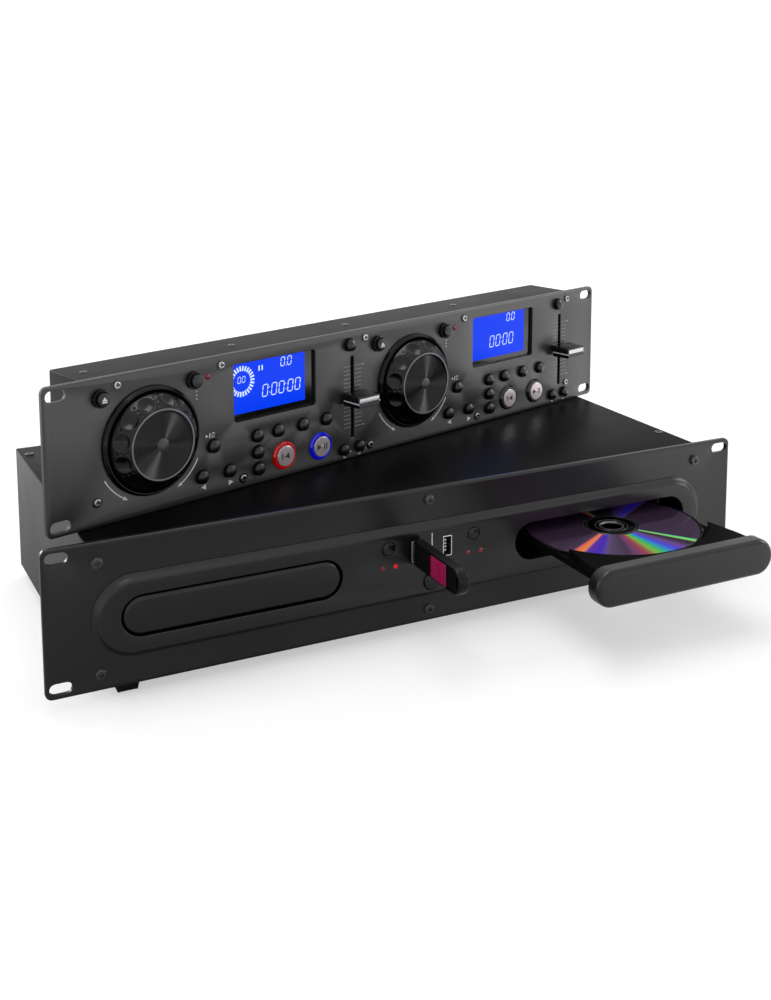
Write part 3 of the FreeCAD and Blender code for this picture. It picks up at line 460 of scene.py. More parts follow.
def diffraction(name, middle):
    """A mirror tinted for painted haze, with streaks of painted glint whose colour depends only on the turn
    about an upright axis.
    """
    material = plain(name, linear(*PAINTED_GLINT_HUES[0][1]), DISC_GLOSS, 0.0, 0.3)
    tree = material.node_tree
    shader = tree.nodes["Principled BSDF"]
    place = add_node(tree, "ShaderNodeTexCoord").outputs["Object"]
    centred = add_node(tree, "ShaderNodeVectorMath", operation="SUBTRACT")
    tree.links.new(place, centred.inputs[0])
    centred.inputs[1].default_value = middle
    split = add_node(tree, "ShaderNodeSeparateXYZ")
    tree.links.new(centred.outputs[0], split.inputs[0])
    angle = calc(tree, "ARCTAN2", split.outputs["Y"], split.outputs["X"])
    turn_share = calc(tree, "FRACT", calc(tree, "DIVIDE", angle, 2 * math.pi))
    ramp = add_node(tree, "ShaderNodeValToRGB")
    stops = ramp.color_ramp.elements
    for number, (turn, hue) in enumerate(PAINTED_GLINT_HUES):
        stop = stops[number] if number < 2 else stops.new(1.0)
        stop.position = turn / 360
        stop.color = linear(*hue)
    tree.links.new(turn_share, ramp.inputs["Fac"])
    parts = add_node(tree, "ShaderNodeSeparateColor", mode="HSV")
    tree.links.new(ramp.outputs["Color"], parts.inputs[0])
    mirror = mapped(tree, parts.outputs[2], (*MIRROR_SPREAD, *MIRROR_METAL), clamp=True)
    hue = ramp.outputs["Color"]
    tree.links.new(mirror, shader.inputs["Metallic"])
    tree.links.new(mixed(tree, "RGBA", mirror, hue, linear(*MIRROR_TINT)), shader.inputs["Base Color"])
    tree.links.new(mixed(tree, "RGBA", mirror, hue, (0, 0, 0, 1)), shader.inputs["Emission Color"])
    shader.inputs["Emission Strength"].default_value = PAINTED_GLINT_GLOW
    return material


disc_low, disc_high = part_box("disc")
DISC_MIDDLE = ((disc_low.x + disc_high.x) / 2, (disc_low.y + disc_high.y) / 2, disc_low.z)
FINISH["disc_rainbow"] = diffraction("disc_rainbow", DISC_MIDDLE)
add_plain("grooved_plate", linear(40, 40, 41), 0.2, 0.6, 0.3)
add_plain("dark_metal", linear(100, 100, 101), 0.25, 0.9)
add_plain("knob_silver", linear(205, 205, 208), 0.3, 0.5)
add_plain("hub_grey", linear(62, 62, 64), 0.35, 0.3)
add_plain("lens_red", linear(190, 6, 6), 0.08, glow=(linear(230, 10, 8), 0.16))
add_plain("lens_blue", linear(6, 14, 200), 0.08, glow=(linear(8, 14, 230), 0.25))
add_plain("cap_spun", linear(206, 196, 199), 0.22, 0.5)
add_plain("lens_dark", linear(30, 28, 30), 0.15)
add_plain("lamp_red", linear(90, 10, 14), 0.15, glow=(linear(190, 10, 20), 0.14))
add_plain("lamp_bright", linear(170, 4, 12), 0.1, glow=(linear(225, 4, 18), 0.5))
add_plain("lamp_half", linear(120, 6, 14), 0.1, glow=(linear(170, 6, 18), 0.2))
add_plain("stick_black", linear(9, 8, 9), 0.3, specular=0.2)
# The pink plate glows a little, though it holds no lamp: painted light on its colour.
add_plain("stick_pink", linear(150, 14, 74), 0.25, glow=(linear(160, 20, 80), 0.12))
add_plain("phono_red", linear(170, 20, 22), 0.3)
add_plain("display_mask", linear(8, 8, 10), 0.12)
add_plain("display_blue", linear(0, 4, 40), 0.3, 0, 0.1, (linear(0, 60, 244), 1.0))
add_plain("display_pale", linear(180, 200, 240), 0.3, glow=(linear(196, 216, 255), 0.85))
add_plain("print_white", linear(246, 246, 246), 0.5)
add_plain("print_grey", linear(150, 150, 150), 0.5)
add_plain("print_dark", linear(70, 62, 66), 0.5, specular=0.2)
print("finishes with lenses, lamps and print:", len(FINISH))

# %% [markdown]
# ## How sheet and moulded parts are drawn
# Every flat part here is a few outlines at different depths: an outline and its holes, each with a
# small rounded edge. So an outline is a function of how much it grows, rings of vertices are set at
# each depth, strips join them, and flat caps fill what lies between. Caps stay flat-shaded, so the
# rounded edges take a clean line of light and the flats stay truly flat.

# %% Outlines that can grow
TINY = 1e-6


def circle(x, z, radius, steps=48):
    def at(grow):
        turns = [2 * math.pi * k / steps for k in range(steps)]
        reach = radius + grow
        return [(x + reach * math.cos(t), z + reach * math.sin(t)) for t in turns]
    return at


def rounded(x, z, width, height, corner, steps=6):
    """A rectangle with rounded corners; a corner of half its height gives fully round ends."""
    spread_x, spread_z = width / 2 - corner, height / 2 - corner
    sides = ((1, 1, spread_x), (-1, 1, spread_z), (-1, -1, spread_x), (1, -1, spread_z))

    def at(grow):
        points = []
        reach = corner + grow
        for quarter, (side_x, side_z, straight) in enumerate(sides):
            for k in range(steps + 1 if straight > TINY else steps):
                t = math.pi / 2 * (quarter + k / steps)
                points.append((x + side_x * spread_x + reach * math.cos(t),
                               z + side_z * spread_z + reach * math.sin(t)))
        return points
    return at


def stadium(x, z, width, height, steps=20):
    return rounded(x, z, width, height, height / 2, steps)


# %% Rings, strips and caps
def add_ring(bm, points, y):
    return [bm.verts.new((x, y, z)) for x, z in points]


def bridge(bm, first, second):
    """A strip of faces between two rings, where either may be a single point."""
    count = max(len(first), len(second))
    for k in range(count):
        n = (k + 1) % count
        if len(first) == 1:
            corners = (first[0], second[k], second[n])
        elif len(second) == 1:
            corners = (first[k], second[0], first[n])
        else:
            corners = (first[k], second[k], second[n], first[n])
        bm.faces.new(corners).smooth = True


def cap(bm, rings):
    """A flat face between rings that lie at one depth: the first outlines it, the others are holes."""
    edges = []
    for ring in rings:
        for k, vert in enumerate(ring):
            following = ring[(k + 1) % len(ring)]
            edges.append(bm.edges.get((vert, following)) or bm.edges.new((vert, following)))
    made = bmesh.ops.triangle_fill(bm, use_beauty=True, edges=edges, normal=(0, -1, 0))
    for item in made["geom"]:
        if isinstance(item, bmesh.types.BMFace):
            item.smooth = False


def edge_steps(radius, depth, inward, steps=3):
    """(grow, y) from the flat at this depth round a quarter-round edge, going in along +Y."""
    rows = []
    for k in range(steps + 1):
        t = math.pi / 2 * k / steps
        rows.append((inward * radius * (1 - math.sin(t)), depth + radius * (1 - math.cos(t))))
    return rows


def wall(bm, shape, rows):
    """Rings of one outline at each (grow, y), joined by strips. Returns the rings."""
    rings = [add_ring(bm, shape(grow), y) for grow, y in rows]
    for first, second in zip(rings, rings[1:]):
        bridge(bm, first, second)
    return rings


def close(bm, rings):
    """Caps the first and the last ring of a wall."""
    cap(bm, [rings[0]])
    cap(bm, [rings[-1]])


def edge_back(radius, depth, inward, steps=3):
    """The same quarter-round edge at the back of a part."""
    rows = edge_steps(radius, depth, inward, steps)
    return [(grow, 2 * depth - y) for grow, y in reversed(rows)]


def plate(bm, shape, holes, front, back, edge=0.5, hole_edge=0.2, back_edge=0):
    """A flat part with holes and rounded edges."""
    end = edge_back(back_edge, back, -1) if back_edge else [(0, back)]
    outer = wall(bm, shape, edge_steps(edge, front, -1) + end)
    inner = [wall(bm, hole, edge_steps(hole_edge, front, 1) + [(0, back)]) for hole in holes]
    cap(bm, [outer[0]] + [rings[0] for rings in inner])
    cap(bm, [outer[-1]] + [rings[-1] for rings in inner])


def lathe(bm, x, z, profile, steps=64):
    """Turns (radius, y) points about the line along Y through x, z."""
    rows = []
    for radius, y in profile:
        if radius < TINY:
            rows.append([bm.verts.new((x, y, z))])
        else:
            rows.append(add_ring(bm, circle(x, z, radius, steps)(0), y))
    for first, second in zip(rows, rows[1:]):
        if len(first) + len(second) > 2:
            bridge(bm, first, second)


# %% Turn a drawing into a piece
SAME_POINT = 1e-4
CREASE = 32


def to_mesh(name, bm, place, finish):
    """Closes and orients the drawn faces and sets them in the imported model's frame."""
    bmesh.ops.remove_doubles(bm, verts=bm.verts, dist=SAME_POINT)
    bmesh.ops.recalc_face_normals(bm, faces=bm.faces)
    mesh = bpy.data.meshes.new(name)
    bm.to_mesh(mesh)
    bm.free()
    mesh.transform(place)
    mesh.set_sharp_from_angle(angle=math.radians(CREASE))
    mesh.materials.append(FINISH[finish])
    made = bpy.data.objects.new(name, mesh)
    bpy.context.scene.collection.objects.link(made)
    return made


def settle(made, body, slot_name, *replaced):
    """Rides a finished piece on its body and hides the nodes that it stands for; its slot name is not used.
    """
    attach(made, body)
    if replaced:
        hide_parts(*replaced)
    return made


def add_piece(name, bm, place, finish, body, slot_name, *replaced):
    return settle(to_mesh(name, bm, place, finish), body, slot_name, *replaced)

# %% [markdown]
# ## The controller's front panel
# On the real unit this is one steel plate, punched for every button and powder-painted. It could stay
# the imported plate, whose edges are knife-sharp. It is drawn again with a rounded edge all round, for
# the thin bright line that folded and painted steel has.

# %% Sizes of both front panels
PANEL_WIDTH = 482.6
PANEL_HEIGHT = 88.1
PANEL_THICK = 3.0
PANEL_CORNER = 4.0
SLOT_SPACING_X, SLOT_SPACING_Z = 465.1, 76.2
SLOT_LENGTH, SLOT_WIDTH = 13.0, 6.8
HOLE_GAP = 0.35


def rack_outline():
    return rounded(0, PANEL_HEIGHT / 2, PANEL_WIDTH, PANEL_HEIGHT, PANEL_CORNER)


def rack_slots():
    """The four slots by which a panel is screwed to a rack."""
    places = [(side * SLOT_SPACING_X / 2, PANEL_HEIGHT / 2 + level * SLOT_SPACING_Z / 2)
              for side in (-1, 1) for level in (-1, 1)]
    return [stadium(x, z, SLOT_LENGTH, SLOT_WIDTH, 8) for x, z in places]


# %% Where each deck's controls are, from the left deck
CAP_BACK = 9.4
SMALL_BUTTONS = {
    "plus_ten": (-127.4, 31.9),
    "track_back": (-136.2, 14.1),
    "track_forward": (-115.5, 13.5),
    "time": (-93.6, 31.7),
    "single": (-93.4, 20.8),
    "program": (-93.1, 9.8),
    "loop_in": (-77.0, 31.9),
    "loop_out": (-56.6, 31.9),
    "reloop": (-36.9, 31.9),
    "pitch": (-15.9, 78.9),
}
BEND_BUTTONS = {"bend_minus": (-21.6, 7.4), "bend_plus": (-7.6, 7.4)}
ROUND_BUTTONS = {"eject": (-204.6, 75.9), "jog_mode": (-140.4, 75.9)}
BIG_BUTTONS = {"cue": (-72.4, 14.3), "play": (-42.0, 14.3)}
CAP_RADIUS = {"small": 4.1, "bend": 3.8, "round": 4.0, "big": 6.8}
CAP_RISE = {"small": 3.3, "bend": 3.3, "round": 5.0, "big": 2.3}
PITCH_RISE = 4.0
BUTTON_SETS = {"small": SMALL_BUTTONS, "bend": BEND_BUTTONS, "round": ROUND_BUTTONS, "big": BIG_BUTTONS}
MODE_LAMP = (-130.4, 76.3)
MODE_LAMP_R = 1.9
JOG_HOLE_R = 29.9
WINDOW = (-111.0, -45.4, 43.1, 80.5)
WINDOW_CORNER = 2.0
FADER_X = -13.55
FADER_SLOT = (14.5, 70.6)
FADER_SLOT_WIDTH, FADER_SLOT_CORNER = 2.9, 0.6


def between(limits, grow=0.0, shift=0.0):
    """Middle and size (x, z, width, height) of limits (left, right, low, high), grown all round."""
    left, right, low, high = limits
    return (left + right) / 2 + shift, (low + high) / 2, right - left + 2 * grow, high - low + 2 * grow


def deck_holes(shift):
    """The holes that one deck needs in the panel."""
    holes = []
    for kind, buttons in BUTTON_SETS.items():
        for x, z in buttons.values():
            holes.append(circle(x + shift, z, CAP_RADIUS[kind] + HOLE_GAP, 32))
    holes.append(circle(MODE_LAMP[0] + shift, MODE_LAMP[1], MODE_LAMP_R, 24))
    holes.append(circle(JOG_X + shift, JOG_Z, JOG_HOLE_R, 96))
    holes.append(rounded(*between(WINDOW, 0, shift), WINDOW_CORNER))
    slot_z, slot_height = sum(FADER_SLOT) / 2, FADER_SLOT[1] - FADER_SLOT[0]
    holes.append(rounded(FADER_X + shift, slot_z, FADER_SLOT_WIDTH, slot_height, FADER_SLOT_CORNER, 3))
    return holes


# %% Punch and round the controller's plate
drawing = bmesh.new()
holes = rack_slots()
for shift in DECKS.values():
    holes += deck_holes(shift)
plate(drawing, rack_outline(), holes, 0, PANEL_THICK, edge=0.9, hole_edge=0.3)
controller_face = add_piece("controller_face", drawing, ON_CONTROLLER, "controller_paint",
                            "controller", "controller_panel_paint", "controller_panel")
print("controller plate:", len(holes), "holes,", len(controller_face.data.polygons), "faces")

# %% [markdown]
# ## Push buttons
# Each button is a moulded cap that slides in its own hole. A cap is turned from one profile: a shallow
# dome, a round shoulder and a straight wall. The big cue and play caps are flat instead, and turned
# with fine grooves. Width and rise are given once for each kind, so one loop dresses all the buttons,
# and each cap rides on its own body.

# %% Caps turned from one profile
def dome_profile(radius, rise, back, dome, shoulder, steps=5):
    """(radius, y) from the middle of the dome, round the shoulder to the back."""
    flat = radius - shoulder
    rows = []
    for k in range(steps + 1):
        share = k / steps
        rows.append((flat * share, -rise + dome * share ** 2))
    for k in range(1, steps + 1):
        t = math.pi / 2 * k / steps
        rows.append((flat + shoulder * math.sin(t), -rise + dome + shoulder * (1 - math.cos(t))))
    return rows + [(radius, back), (0, back)]


CAP_DOME = {"small": 0.7, "bend": 0.6, "round": 0.35}
CAP_SHOULDER = {"small": 0.9, "bend": 0.8, "round": 0.5, "big": 0.35}
CAP_SLOT = {"small": "black_button", "bend": "black_button", "round": "bright_button", "big": "silver_button"}
TURNED_PITCH, TURNED_DEPTH = 0.5, 0.07


def turned_profile(radius, rise, back, shoulder):
    """A flat cap whose face is turned with fine grooves, from the middle out."""
    rows = [(0, -rise)]
    reach = TURNED_PITCH * 2
    while reach < radius - shoulder - TURNED_PITCH:
        rows += [(reach, -rise), (reach + TURNED_PITCH / 2, -rise + TURNED_DEPTH)]
        reach += TURNED_PITCH
    return rows + [(radius - shoulder, -rise), (radius - shoulder / 3, -rise + shoulder / 3),
                   (radius, -rise + shoulder), (radius, back), (0, back)]


def make_cap(deck, shift, kind, name, x, z):
    body = deck + "_" + name + "_button"
    rise = PITCH_RISE if name == "pitch" else CAP_RISE[kind]
    drawing = bmesh.new()
    if kind == "big":
        profile = turned_profile(CAP_RADIUS[kind], rise, CAP_BACK, CAP_SHOULDER[kind])
    else:
        profile = dome_profile(CAP_RADIUS[kind], rise, CAP_BACK, CAP_DOME[kind], CAP_SHOULDER[kind])
    lathe(drawing, x + shift, z, profile, 48)
    finish = "cap_spun" if kind == "big" else "button_plastic"
    return add_piece(body + "_cap", drawing, ON_CONTROLLER, finish, body, CAP_SLOT[kind], body)


caps = []
for deck, shift in DECKS.items():
    for kind, buttons in BUTTON_SETS.items():
        for name, (x, z) in buttons.items():
            caps.append(make_cap(deck, shift, kind, name, x, z))
print("caps:", len(caps))

# %% [markdown]
# ## Jog wheels
# A jog wheel is a moulded dish: a rounded rim with finger dimples, and a turned metal-look disc in the
# middle. The dimples follow a rule, twelve round hollows on one circle and three small dots between
# two of them, so Geometry Nodes press them into a finely turned blank: each point looks up the
# nearest hollow and sinks by a parabola.

# %% The turned blank
JOG_RIM_R = 29.4
JOG_RIM_RISE = 3.2
JOG_DISC_R = 21.6
JOG_RISE = 13.5
JOG_BACK = 1.0
JOG_SHAFT_R = 3.0
JOG_SHAFT_BACK = 9.2
DISC_SINK = 1.2
RIM_STEPS = 44
RIM_CROWN = 1.1


def rim_profile():
    """From the disc's edge down the crowned slope to the bezel."""
    top_r, top_y = JOG_DISC_R - 0.1, -JOG_RISE + 0.4
    run, fall = JOG_RIM_R - top_r, -JOG_RIM_RISE - top_y
    length = math.hypot(run, fall)
    rows = []
    for k in range(RIM_STEPS + 1):
        share = k / RIM_STEPS
        crown = RIM_CROWN * math.sin(math.pi * share)
        across, along = crown * fall / length, crown * run / length
        rows.append((top_r + run * share + across, top_y + fall * share - along))
    return rows


def jog_blank(bm):
    dish = -JOG_RISE + DISC_SINK
    profile = [(0, dish), (JOG_DISC_R - 0.8, dish), (JOG_DISC_R - 0.6, -JOG_RISE + 0.5)]
    profile += rim_profile()
    profile += [(JOG_RIM_R, JOG_BACK), (JOG_SHAFT_R, JOG_BACK)]
    profile += [(JOG_SHAFT_R, JOG_SHAFT_BACK), (0, JOG_SHAFT_BACK)]
    lathe(bm, JOG_X, JOG_Z, profile, 360)


# %% A tree that presses a ring of dimples
def new_tree(name, inputs):
    """An empty geometry tree with the named inputs (name, socket type, value)."""
    tree = bpy.data.node_groups.new(name, "GeometryNodeTree")
    tree.interface.new_socket("Geometry", in_out="INPUT", socket_type="NodeSocketGeometry")
    for label, kind, value in inputs:
        socket = tree.interface.new_socket(label, in_out="INPUT", socket_type=kind)
        if value is not None:
            socket.default_value = value
    tree.interface.new_socket("Geometry", in_out="OUTPUT", socket_type="NodeSocketGeometry")
    return tree, tree.nodes.new("NodeGroupInput"), tree.nodes.new("NodeGroupOutput")


def finish_tree(tree, given, result, geometry):
    """Ends every tree alike: real geometry, with the given material."""
    whole = add_node(tree, "GeometryNodeRealizeInstances")
    tree.links.new(geometry, whole.inputs[0])
    paint = add_node(tree, "GeometryNodeSetMaterial")
    tree.links.new(whole.outputs[0], paint.inputs["Geometry"])
    tree.links.new(given.outputs["Material"], paint.inputs["Material"])
    tree.links.new(paint.outputs[0], result.inputs["Geometry"])


def apply_tree(host, tree, **values):
    """Runs a tree on an object and keeps the result as its plain mesh."""
    modifier = host.modifiers.new(tree.name, "NODES")
    modifier.node_group = tree
    sockets = {item.name: item.identifier for item in tree.interface.items_tree if item.in_out == "INPUT"}
    for label, value in values.items():
        modifier[sockets[label.replace("_", " ")]] = value
    shown = host.evaluated_get(bpy.context.evaluated_depsgraph_get())
    mesh = bpy.data.meshes.new_from_object(shown)
    host.modifiers.remove(modifier)
    old = host.data
    host.data = mesh
    mesh.name = host.name
    bpy.data.meshes.remove(old)
    return host


def dimple_tree():
    """Sinks every point near one of a ring of hollows, along the slope's own normal."""
    tree, given, result = new_tree("press_dimples", [
        ("Count", "NodeSocketInt", 12),
        ("Ring Radius", "NodeSocketFloat", 26.0),
        ("Ring Depth", "NodeSocketFloat", -9.0),
        ("Dimple Radius", "NodeSocketFloat", 4.9),
        ("Sink", "NodeSocketFloat", 1.5),
        ("Phase", "NodeSocketFloat", 0.0),
        ("Slope", "NodeSocketFloat", 0.9),
        ("Material", "NodeSocketMaterial", None),
    ])
    value = given.outputs
    place = tree.nodes.new("GeometryNodeInputPosition").outputs[0]
    point = add_node(tree, "ShaderNodeSeparateXYZ")
    tree.links.new(place, point.inputs[0])
    sector = calc(tree, "DIVIDE", 2 * math.pi, value["Count"])
    turn = calc(tree, "ARCTAN2", point.outputs["Z"], point.outputs["X"])
    turns = calc(tree, "ROUND", calc(tree, "DIVIDE", calc(tree, "SUBTRACT", turn, value["Phase"]), sector))
    nearest = calc(tree, "ADD", calc(tree, "MULTIPLY", turns, sector), value["Phase"])
    across, up = calc(tree, "COSINE", nearest), calc(tree, "SINE", nearest)
    centre = vector(tree, calc(tree, "MULTIPLY", across, value["Ring Radius"]), value["Ring Depth"],
                    calc(tree, "MULTIPLY", up, value["Ring Radius"]))
    share = calc(tree, "DIVIDE", distance(tree, place, centre), value["Dimple Radius"])
    bowl = calc(tree, "MAXIMUM", calc(tree, "SUBTRACT", 1.0, calc(tree, "MULTIPLY", share, share)), 0.0)
    sink = calc(tree, "MULTIPLY", bowl, value["Sink"])
    inward = calc(tree, "MULTIPLY", calc(tree, "MULTIPLY", sink, calc(tree, "SINE", value["Slope"])), -1.0)
    offset = vector(tree, calc(tree, "MULTIPLY", inward, across),
                    calc(tree, "MULTIPLY", sink, calc(tree, "COSINE", value["Slope"])),
                    calc(tree, "MULTIPLY", inward, up))
    move = add_node(tree, "GeometryNodeSetPosition")
    tree.links.new(value["Geometry"], move.inputs["Geometry"])
    tree.links.new(offset, move.inputs["Offset"])
    finish_tree(tree, given, result, move.outputs[0])
    return tree


# %% Press both wheels
SLOPE = math.atan2(JOG_RISE - JOG_RIM_RISE, JOG_RIM_R - JOG_DISC_R)
DIMPLES = 12
DIMPLE = {"Phase": math.radians(18), "Dimple_Radius": 5.3, "Sink": 2.1}
DOT = {"Phase": math.radians(3), "Dimple_Radius": 1.0, "Sink": 0.5}
HOLLOWS = [(DIMPLE, 26.3, -8.9), (DOT, 23.9, -11.9), (DOT, 26.1, -9.2), (DOT, 28.2, -6.4)]
RIM_CREASE = 45
dimples = dimple_tree()
for deck, shift in DECKS.items():
    drawing = bmesh.new()
    jog_blank(drawing)
    centred = Matrix.Translation((-JOG_X, 0, -JOG_Z))
    wheel = to_mesh(deck + "_jog_dish", drawing, centred, "jog_plastic")
    for hollow, ring, depth in HOLLOWS:
        apply_tree(wheel, dimples, Count=DIMPLES, Ring_Radius=ring, Ring_Depth=depth, Slope=SLOPE,
                   Material=FINISH["jog_plastic"], **hollow)
    wheel.data.transform(ON_CONTROLLER @ Matrix.Translation((JOG_X + shift, 0, JOG_Z)))
    wheel.data.set_sharp_from_angle(angle=math.radians(RIM_CREASE))
    settle(wheel, deck + "_jog_wheel", "jog_plastic", deck + "_jog_wheel")
    print(wheel.name, len(wheel.data.polygons), "faces")

# %% [markdown]
# ## Bezels and the turned discs in the wheels
# Round each wheel sits a dished plastic ring: a low outer lip, a bright crest and a dark inner slope.
# The disc in the wheel's middle is turned with fine grooves, which real turning leaves in rings. The
# grooves are real rings here, so they catch a fan of light from any side.

# %% Bezel rings
BEZEL_PROFILE = [
    (JOG_HOLE_R, 0), (33.5, 0), (33.45, -0.9), (33.1, -1.5), (32.3, -2.2), (32.0, -2.75),
    (31.7, -3.0), (31.3, -2.95), (31.0, -2.6), (30.3, -1.6), (JOG_HOLE_R, -1.2), (JOG_HOLE_R, 0),
]
drawing = bmesh.new()
for shift in DECKS.values():
    lathe(drawing, JOG_X + shift, JOG_Z, BEZEL_PROFILE, 160)
bezels = add_piece("jog_bezel_rings", drawing, ON_CONTROLLER, "bezel_plastic",
                   "controller", "bezel_plastic", "jog_bezels")
print("bezel rings:", len(bezels.data.polygons), "faces")

# %% Grooved discs, their rings and centre caps
GROOVE_PITCH = 0.75
GROOVE_DEPTH = 0.2
DISC_FACE = -JOG_RISE + 1.0
DISC_THICK_IN_WHEEL = 0.6
DISC_MARGIN = 1.6
RING_PROFILE = [(20.5, 0.9), (20.5, 0.25), (20.65, 0.07), (20.9, 0), (21.3, 0),
                (21.55, 0.07), (21.7, 0.25), (21.7, 0.9), (20.5, 0.9)]
HUB_R = 4.1
HUB_PROFILE = [(0, -0.75), (1.5, -0.7), (3.3, -0.5), (HUB_R - 0.2, -0.2), (HUB_R, 0.1), (0, 0.1)]


def groove_profile():
    """From the middle out, a shallow ridge at every pitch, and back under the disc."""
    rows = [(0, 0)]
    reach = HUB_R
    while reach < JOG_DISC_R - DISC_MARGIN:
        rows += [(reach, 0), (reach + GROOVE_PITCH / 2, -GROOVE_DEPTH)]
        reach += GROOVE_PITCH
    return rows + [(reach, 0), (reach, DISC_THICK_IN_WHEEL), (0, DISC_THICK_IN_WHEEL)]


WHEEL_PARTS = [
    ("_jog_disc", "grooved_plate", DISC_FACE, groove_profile(), 120),
    ("_jog_ring", "dark_metal", -JOG_RISE, RING_PROFILE, 180),
    ("_jog_hub", "hub_grey", DISC_FACE, HUB_PROFILE, 60),
]
for deck, shift in DECKS.items():
    for ending, finish, depth, profile, steps in WHEEL_PARTS:
        drawing = bmesh.new()
        lathe(drawing, JOG_X + shift, JOG_Z, [(r, y + depth) for r, y in profile], steps)
        add_piece(deck + ending, drawing, ON_CONTROLLER, finish,
                  deck + "_jog_wheel", "jog_plastic", deck + "_jog_wheel")
print("wheel discs, rings and hubs:", len(DECKS) * len(WHEEL_PARTS))

# %% [markdown]
# ## Lamps, lens rings and collars
# Cue and play sit in clear rings that light up: on the working deck one glows red and one blue. The
# eject and jog-mode buttons stand in small raised collars.

# %% Lens rings and mode lamps
LENS_R, LENS_RISE = 9.2, 1.8
LENS_IN_R = 7.15
LENS_FINISH = {("left", "cue"): "lens_red", ("left", "play"): "lens_blue",
               ("right", "cue"): "lens_dark", ("right", "play"): "lens_dark"}
LENS_PROFILE = [(LENS_IN_R, 0), (LENS_R, 0), (LENS_R, -0.5), (LENS_R - 0.5, -1.2),
                (LENS_R - 1.0, -LENS_RISE), (LENS_IN_R + 0.3, -LENS_RISE),
                (LENS_IN_R, -LENS_RISE + 0.3), (LENS_IN_R, 0)]
MODE_LAMP_PROFILE = dome_profile(MODE_LAMP_R - 0.1, 1.0, 6.0, 0.5, 0.5)
for deck, shift in DECKS.items():
    for name, (x, z) in BIG_BUTTONS.items():
        drawing = bmesh.new()
        lathe(drawing, x + shift, z, LENS_PROFILE, 72)
        add_piece(deck + "_" + name + "_lens", drawing, ON_CONTROLLER, LENS_FINISH[deck, name],
                  "controller", "lamp_lens", "controller_lamps")
    drawing = bmesh.new()
    lathe(drawing, MODE_LAMP[0] + shift, MODE_LAMP[1], MODE_LAMP_PROFILE, 32)
    add_piece(deck + "_mode_lamp", drawing, ON_CONTROLLER, "lamp_red",
              "controller", "lamp_lens", "controller_lamps")
print("lens rings:", len(LENS_FINISH), "mode lamps:", len(DECKS))

# %% Collars round eject and jog mode
COLLAR_R, COLLAR_RISE = 5.45, 2.1
COLLAR_IN_R = CAP_RADIUS["round"] + HOLE_GAP
COLLAR_PROFILE = [(COLLAR_IN_R, 0), (COLLAR_R, 0), (COLLAR_R, -COLLAR_RISE + 0.5),
                  (COLLAR_R - 0.15, -COLLAR_RISE + 0.15), (COLLAR_R - 0.5, -COLLAR_RISE),
                  (COLLAR_IN_R + 0.2, -COLLAR_RISE), (COLLAR_IN_R, -COLLAR_RISE + 0.2), (COLLAR_IN_R, 0)]
drawing = bmesh.new()
for shift in DECKS.values():
    for x, z in ROUND_BUTTONS.values():
        lathe(drawing, x + shift, z, COLLAR_PROFILE, 48)
add_piece("button_collars", drawing, ON_CONTROLLER, "bezel_plastic", "controller", "bezel_plastic")
print("collars:", 2 * len(ROUND_BUTTONS))

# %% [markdown]
# ## Displays
# A display is a glass in the panel's window: a black mask, a lit blue field and pale segments. Digits
# are drawn as seven bars each, from one table of which bars every number lights.

# %% Glass and blue field
ACTIVE = (-109.9, -52.8, 47.6, 79.8)
MASK_Y = 2.2
MASK_STEP_Y, MASK_BACK_Y = MASK_Y + 1, MASK_Y + 2.2
MASK_LAP, MASK_PLAY = 1.5, 0.15
FIELD_Y = 2.12
MARK_Y = 2.06
masks, fields = bmesh.new(), bmesh.new()
for shift in DECKS.values():
    rim = rounded(*between(WINDOW, MASK_LAP, shift), WINDOW_CORNER)
    plate(masks, rim, [], MASK_STEP_Y, MASK_BACK_Y, 0.1)
    glass = rounded(*between(WINDOW, -MASK_PLAY, shift), WINDOW_CORNER)
    plate(masks, glass, [], MASK_Y, MASK_STEP_Y, 0.1)
    plate(fields, rounded(*between(ACTIVE, 0, shift), 0.4, 2), [], FIELD_Y, MASK_Y + 0.3, 0.01)
add_piece("display_masks", masks, ON_CONTROLLER, "display_mask", "controller", "board")
add_piece("display_fields", fields, ON_CONTROLLER, "display_blue", "controller", "board")
print("displays:", len(DECKS))

# %% Seven-bar digits
BARS = {"0": "abcdef", "1": "bc", "2": "abged", "3": "abgcd", "4": "fgbc", "5": "afgcd", "6": "afgedc",
        "7": "abc", "8": "abcdefg", "9": "abcdfg", "-": "g"}


def bar(bm, x0, z0, x1, z1, thick, y=MARK_Y, back=0.05):
    """A thin flat bar from one point to another, pointed at both ends."""
    along = Vector((x1 - x0, z1 - z0))
    length = along.length
    along.normalize()
    side = Vector((-along.y, along.x)) * thick / 2
    start, end = Vector((x0, z0)), Vector((x1, z1))
    tip = along * min(thick / 2, length / 3)
    outline = [start, start + tip - side, end - tip - side, end, end - tip + side, start + tip + side]
    front = add_ring(bm, [(p.x, p.y) for p in outline], y)
    rear = add_ring(bm, [(p.x, p.y) for p in outline], y + back)
    bm.faces.new(front)
    bm.faces.new(list(reversed(rear)))
    bridge(bm, front, rear)


LEAN = 0.12
BAR_GAP = 0.35


def digit(bm, figure, x, z, width, height, thick, y=MARK_Y):
    """One figure with its lower left corner at x, z, leaning a little to the right."""
    gap = thick * BAR_GAP
    left, right, low, high, middle = x, x + width, z, z + height, z + height / 2
    places = {
        "a": (left + gap, high, right - gap, high), "g": (left + gap, middle, right - gap, middle),
        "d": (left + gap, low, right - gap, low), "f": (left, middle + gap, left, high - gap),
        "b": (right, middle + gap, right, high - gap), "e": (left, low + gap, left, middle - gap),
        "c": (right, low + gap, right, middle - gap),
    }
    for name in BARS[figure]:
        x0, z0, x1, z1 = places[name]
        bar(bm, x0 + LEAN * (z0 - z), z0, x1 + LEAN * (z1 - z), z1, thick, y)


def dot(bm, x, z, size):
    bar(bm, x - size / 2, z, x + size / 2, z, size)


